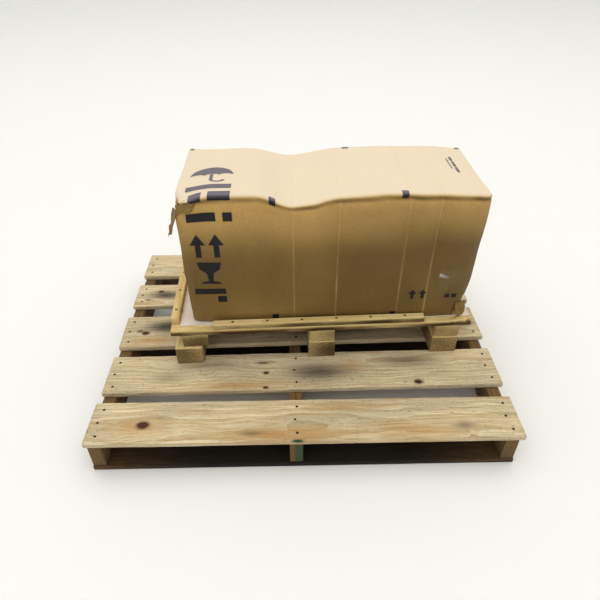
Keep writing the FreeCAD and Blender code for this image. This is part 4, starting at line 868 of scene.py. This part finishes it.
# A painted shadow in a wavering line under the top fold.
painted_fold_shadow = np.clip(0.75 + 0.6 * ripple(raw * np.array([1.0, 0, 0]), 18.0, 78), 0, 1)
painted_fold_shadow *= 0.8 * bump_shape((drop - 0.013) / 0.008)
# Painted shade inside the crushed foot and the torn gash under the top left corner.
foot_hole_shade = (raw - np.array([0.822, 0.0, 0.016])) / np.array([0.020, 0.03, 0.022])
top_gash_shade = (raw - np.array([0.022, 0.0, HEIGHT - 0.016])) / np.array([0.05, 0.03, 0.012])
torn = [bump_shape(np.linalg.norm(place, axis=1)) for place in (foot_hole_shade, top_gash_shade)]
on_front = raw[:, 1] < 0.02
wear[:, 2] = on_front * np.clip(painted_front_shade * (1 + 0.3 * ripple(raw, 5.0, 77)), 0, 0.9) * (1 - wear[:, 1])
wear[:, 2] = np.maximum(wear[:, 2], on_front * 1.3 * np.max([painted_fold_shadow, *torn], axis=0))
add_attribute(cap_mesh, "panel", "FLOAT_VECTOR", raw)
add_attribute(cap_mesh, "wear", "FLOAT_COLOR", wear)
outside = BVHTree.FromPolygons([Vector(point) for point in dented], [tuple(face) for face in faces])
wall_board = cap_mesh.modifiers.new("board", "SOLIDIFY")
wall_board.thickness = BOARD_THICKNESS
wall_board.offset = -1.0
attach(cap_mesh, "carton")
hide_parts("carton_cap")

# ---------------------------------------------------------------- torn liner
# Three flaps of brown liner paper, torn loose from the flutes where the carton's corners were crushed. They
# curl and hang by one edge.

LINER_CELLS = 12
LINER_THICKNESS = 0.0011
LINER_WEAR = (0.0, 0.1, 0.75, 1.0)


def grid_faces(count):
    """The faces of a square grid of points numbered row by row, with this many cells to a side."""
    wide = count + 1
    starts = [row * wide + col for row in range(count) for col in range(count)]
    return [(start, start + 1, start + wide + 1, start + wide) for start in starts]


def torn_liner(name, corners, seed, crumple):
    """A flap between four corners, given in the carton's frame, with its last edge ragged."""
    grid = []
    for row in range(LINER_CELLS + 1):
        for col in range(LINER_CELLS + 1):
            s, t = col / LINER_CELLS, row / LINER_CELLS
            upper = np.array(corners[0]) * (1 - s) + np.array(corners[1]) * s
            lower = np.array(corners[3]) * (1 - s) + np.array(corners[2]) * s
            grid.append(upper * (1 - t) + lower * t)
    grid = np.array(grid)
    share = np.repeat(np.arange(LINER_CELLS + 1) / LINER_CELLS, LINER_CELLS + 1)
    for way in range(3):
        grid[:, way] += crumple * ripple(grid, 70.0, seed + way) * (0.3 + 0.7 * share)
    rag = (share > 0.9) * 0.006 * ripple(grid, 160.0, seed + 7)
    grid += rag[:, None] * np.array([0.5, 0.3, 1.0])
    flap = new_piece(name, to_row(grid), grid_faces(LINER_CELLS), kraft_board)
    add_attribute(flap, "panel", "FLOAT_VECTOR", grid)
    add_attribute(flap, "wear", "FLOAT_COLOR", [LINER_WEAR] * len(grid))
    paper = flap.modifiers.new("paper", "SOLIDIFY")
    paper.thickness = LINER_THICKNESS
    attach(flap, "carton")


torn_liner(
    "torn_liner_left",
    [(0.004, -0.002, 0.388), (-0.012, 0.022, 0.384), (-0.036, 0.018, 0.302), (-0.020, -0.006, 0.318)],
    81, 0.006,
)
torn_liner(
    "torn_liner_top",
    [(0.002, -0.004, 0.404), (0.052, -0.006, 0.409), (0.046, -0.014, 0.392), (0.006, -0.016, 0.380)],
    82, 0.007,
)
torn_liner(
    "torn_liner_foot",
    [(0.800, -0.003, 0.052), (0.834, 0.006, 0.056), (0.838, 0.000, 0.012), (0.806, -0.010, 0.004)],
    83, 0.008,
)

# ---------------------------------------------------------------- print on the carton
# Black flexographic ink, rolled straight on to the liner before the carton was folded: handling marks down
# the left of the front and over the fold, a few small plain marks, and square register marks.

INK_PROUD = 0.0008  # the ink stands this far off the board, so that no dent hides it
INK_STEP = 0.0022  # the print is cut this fine, so that it can follow the dents
FOLD_REACH = 0.009  # the print turns over the fold within this distance of it
CAST_FROM = 0.03  # the dented board is looked for from this far outside it

# Thin black ink: soft black on the front, painted greyish purple on top as a painted reflection.
ink, add = new_material("black carton ink")
place = add("Attribute", {}, {"attribute_name": "panel"}, output=1)
starved = add("TexNoise", {"Vector": place, "Scale": 240.0, "Detail": 5.0, "Roughness": 0.7})
band = add("TexNoise", {"Vector": place, "Scale": 18.0, "Detail": 3.0})
thin = add("Math", {0: band, 1: 0.4, 2: starved}, TIMES_PLUS)
tone = add("ValToRGB", {"Fac": thin}, stops=((0.55, "#0E0F14"), (0.9, "#24242A"), (0.99, "#5B4C3A")))
wear_and_light = add("Attribute", {}, {"attribute_name": "wear"})
wear_and_light = add("SeparateColor", {"Color": wear_and_light}).node
painted_top_reflection = add("Math", {0: wear_and_light.outputs[0], 1: 0.62}, TIMES)
tone = add("Mix", {0: painted_top_reflection, 6: tone, 7: linear("#8C8490")}, BLEND, output=2)
surface = {"Base Color": tone, "Roughness": 0.5, "IOR": 1.45, "Specular IOR Level": 0.25}
finish_material(add, surface)


def bar(left, right, top, bottom):
    return [(left, top), (right, top), (right, bottom), (left, bottom)]


def scaled(outline, left, top, width, height):
    """An outline drawn in a unit square, in its place on the panels."""
    return [(left + x * width, top + s * height) for x, s in outline]


def arc(centre, radius, start, end, count=20):
    """Points along an arc: centre and radius as pairs, angles in degrees, 90 pointing up."""
    angles = [math.radians(start + (end - start) * number / count) for number in range(count + 1)]
    return [(centre[0] + radius[0] * math.cos(a), centre[1] - radius[1] * math.sin(a)) for a in angles]


ARROW = [(0.5, 0.0), (1.0, 0.46), (0.68, 0.46), (0.68, 1.0), (0.32, 1.0), (0.32, 0.46), (0.0, 0.46)]
GLASS = [(0.08, 0.0), (0.92, 0.0), (0.86, 0.3), (0.62, 0.5), (0.58, 0.86), (0.84, 0.93), (0.84, 1.0),
         (0.16, 1.0), (0.16, 0.93), (0.42, 0.86), (0.38, 0.5), (0.14, 0.3)]
CANOPY = arc((0.5, 0.56), (0.5, 0.56), 180, 0)
for rib, half_width in ((0.835, 0.165), (0.5, 0.17), (0.165, 0.165)):
    CANOPY += arc((rib, 0.56), (half_width, 0.1), 0, 180, 8)
CROOK = [(0.46, 0.5), (0.54, 0.5), (0.54, 0.86)] + arc((0.64, 0.86), (0.10, 0.08), 180, 360, 8)
CROOK += [(0.82, 0.86)] + arc((0.64, 0.86), (0.18, 0.14), 360, 180, 8)


def print_marks(name, outlines):
    """Prints outlines on the panels, following every dent of the board.

    x runs from the left end, and s down the front from the fold or, if negative, back over the top.
    """
    sheet_mesh = bmesh.new()
    for outline in outlines:
        sheet_mesh.faces.new([sheet_mesh.verts.new((x, s, 0)) for x, s in outline])
    sheet_mesh.normal_update()
    bmesh.ops.triangulate(sheet_mesh, faces=sheet_mesh.faces[:], ngon_method="EAR_CLIP")
    for way, low, high in ((0, 0.0, LENGTH), (1, -DEPTH, HEIGHT)):
        values = [vertex.co[way] for vertex in sheet_mesh.verts]
        normal = [0, 0, 0]
        normal[way] = 1
        for number in range(math.ceil(min(values) / INK_STEP), math.floor(max(values) / INK_STEP) + 1):
            cut_at = [0, 0, 0]
            cut_at[way] = number * INK_STEP
            geometry = sheet_mesh.verts[:] + sheet_mesh.edges[:] + sheet_mesh.faces[:]
            bmesh.ops.bisect_plane(sheet_mesh, geom=geometry, plane_co=cut_at, plane_no=normal, dist=1e-6)
    bmesh.ops.remove_doubles(sheet_mesh, verts=sheet_mesh.verts[:], dist=1e-5)
    flat_places = np.array([vertex.co for vertex in sheet_mesh.verts])
    x, s = flat_places[:, 0], flat_places[:, 1]
    folded = np.stack([x, np.clip(-s, 0, None), HEIGHT - np.clip(s, 0, None)], axis=1)
    over = ramp(s, -FOLD_REACH, FOLD_REACH)
    out = np.stack([np.zeros(len(s)), -over, 1 - over], axis=1)
    out /= np.linalg.norm(out, axis=1)[:, None]
    placed = []
    for near, way in zip(handled(folded), out):
        start = Vector(near + way * CAST_FROM)
        hit, normal, _, _ = outside.ray_cast(start, Vector(-way))
        placed.append(np.array(hit + Vector(way) * INK_PROUD) if hit else near + way * INK_PROUD)
    for vertex, place in zip(sheet_mesh.verts, to_row(np.array(placed))):
        vertex.co = place
    mesh = bpy.data.meshes.new(name)
    sheet_mesh.normal_update()
    sheet_mesh.to_mesh(mesh)
    sheet_mesh.free()
    mesh.materials.append(ink)
    piece = bpy.data.objects.new(name, mesh)
    bpy.context.scene.collection.objects.link(piece)
    add_attribute(piece, "panel", "FLOAT_VECTOR", folded)
    # Channel 0 marks the print on top, where the ink is painted grey as a painted reflection.
    none = np.zeros(len(s))
    add_attribute(piece, "wear", "FLOAT_COLOR", np.stack([1 - over, none, none, none + 1], axis=1))
    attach(piece, "carton")


print_marks("print_handling", [
    scaled(CANOPY, 0.028, -0.186, 0.120, 0.100), scaled(CROOK, 0.028, -0.186, 0.120, 0.100),
    bar(0.024, 0.147, -0.071, -0.046),
    bar(0.030, 0.070, -0.027, 0.012), bar(0.088, 0.147, -0.027, 0.012),
    bar(0.026, 0.105, 0.039, 0.063), bar(0.124, 0.149, 0.039, 0.063),
    scaled(ARROW, 0.024, 0.100, 0.044, 0.074), scaled(ARROW, 0.076, 0.100, 0.044, 0.074),
    scaled(GLASS, 0.030, 0.190, 0.082, 0.076),
    bar(0.020, 0.110, 0.284, 0.304), bar(0.084, 0.110, 0.312, 0.334),
])
print_marks("print_small", [
    bar(0.782, 0.790, -0.250, -0.222), bar(0.782, 0.790, -0.216, -0.180), bar(0.782, 0.790, -0.174, -0.140),
    bar(0.771, 0.774, -0.235, -0.165),
    scaled(ARROW, 0.652, 0.309, 0.026, 0.033), scaled(ARROW, 0.683, 0.309, 0.026, 0.033),
    bar(0.764, 0.778, 0.326, 0.340), bar(0.784, 0.799, 0.326, 0.340),
])
print_marks("print_register", [
    bar(0.247, 0.264, -0.015, 0.016), bar(0.597, 0.615, -0.017, 0.014),
    bar(0.243, 0.262, 0.389, 0.405), bar(0.603, 0.622, 0.389, 0.402),
    bar(0.470, 0.490, -0.334, -0.322), bar(0.006, 0.016, -0.332, -0.322), bar(0.822, 0.832, -0.332, -0.322),
])

# ---------------------------------------------------------------- document pouch and staples
# A clear polyethylene pouch stuck to the front by its edges, thin and limp, and staples of flat wire, washed
# with copper, through the carton's corner tabs.

POUCH_CELLS = 34
POUCH_LIFT = 0.0008  # the film's edges stand this far off the board

# Polyethylene film: nearly invisible, with glossy wrinkles painted milky white as stress whitening and
# highlight.
film, add = new_material("polyethylene film")
place = add("Attribute", {}, {"attribute_name": "panel"}, output=1)
skew = add("VectorMath", {0: place, 1: (1.0, 1.0, 2.6)}, TIMES)
wrinkles = add("TexNoise", {"Vector": skew, "Scale": 13.0, "Detail": 3.0, "Distortion": 0.8})
milky_painted_highlight = add("MapRange", {"Value": wrinkles, "From Min": 0.62, "From Max": 0.80})
tone = add("ValToRGB", {"Fac": milky_painted_highlight}, stops=((0.0, "#E9E2D6"), (1.0, "#FFFFFF")))
cover = add("MapRange", {"Value": milky_painted_highlight, "To Min": 0.025, "To Max": 0.6})
relief = add("Bump", {"Height": wrinkles, "Strength": 0.3, "Distance": 0.003})
surface = {"Base Color": tone, "Roughness": 0.2, "Alpha": cover, "Normal": relief, "IOR": 1.5}
finish_material(add, surface)

low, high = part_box("document_pouch")
pouch_low, pouch_high = [((np.array(end) @ carton_ways.T) - corner) for end in (low, high)]
grid = []
for row in range(POUCH_CELLS + 1):
    for col in range(POUCH_CELLS + 1):
        x = pouch_low[0] + (pouch_high[0] - pouch_low[0]) * col / POUCH_CELLS
        z = pouch_low[2] + (pouch_high[2] - pouch_low[2]) * row / POUCH_CELLS
        near = handled(np.array([[x, 0.0, z]]))[0]
        hit, _, _, _ = outside.ray_cast(Vector(near + np.array([0, -CAST_FROM, 0])), Vector((0, 1, 0)))
        inset = min(col, POUCH_CELLS - col, row, POUCH_CELLS - row) / POUCH_CELLS
        slack = 0.0022 + 0.0018 * noise.noise(Vector((x * 40, 3.0, z * 90)))
        lift = POUCH_LIFT + ramp(inset, 0.0, 0.12) * slack
        grid.append(np.array(hit) - np.array([0, lift, 0]))
grid = np.array(grid)
pouch = new_piece("pouch_film", to_row(grid), grid_faces(POUCH_CELLS), film)
add_attribute(pouch, "panel", "FLOAT_VECTOR", grid)
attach(pouch, "carton")
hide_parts("document_pouch")

coat(metal_material("copper washed staples", "#B07F55", "#8A5F3C", 0.35, 0.004), "carton_staples")
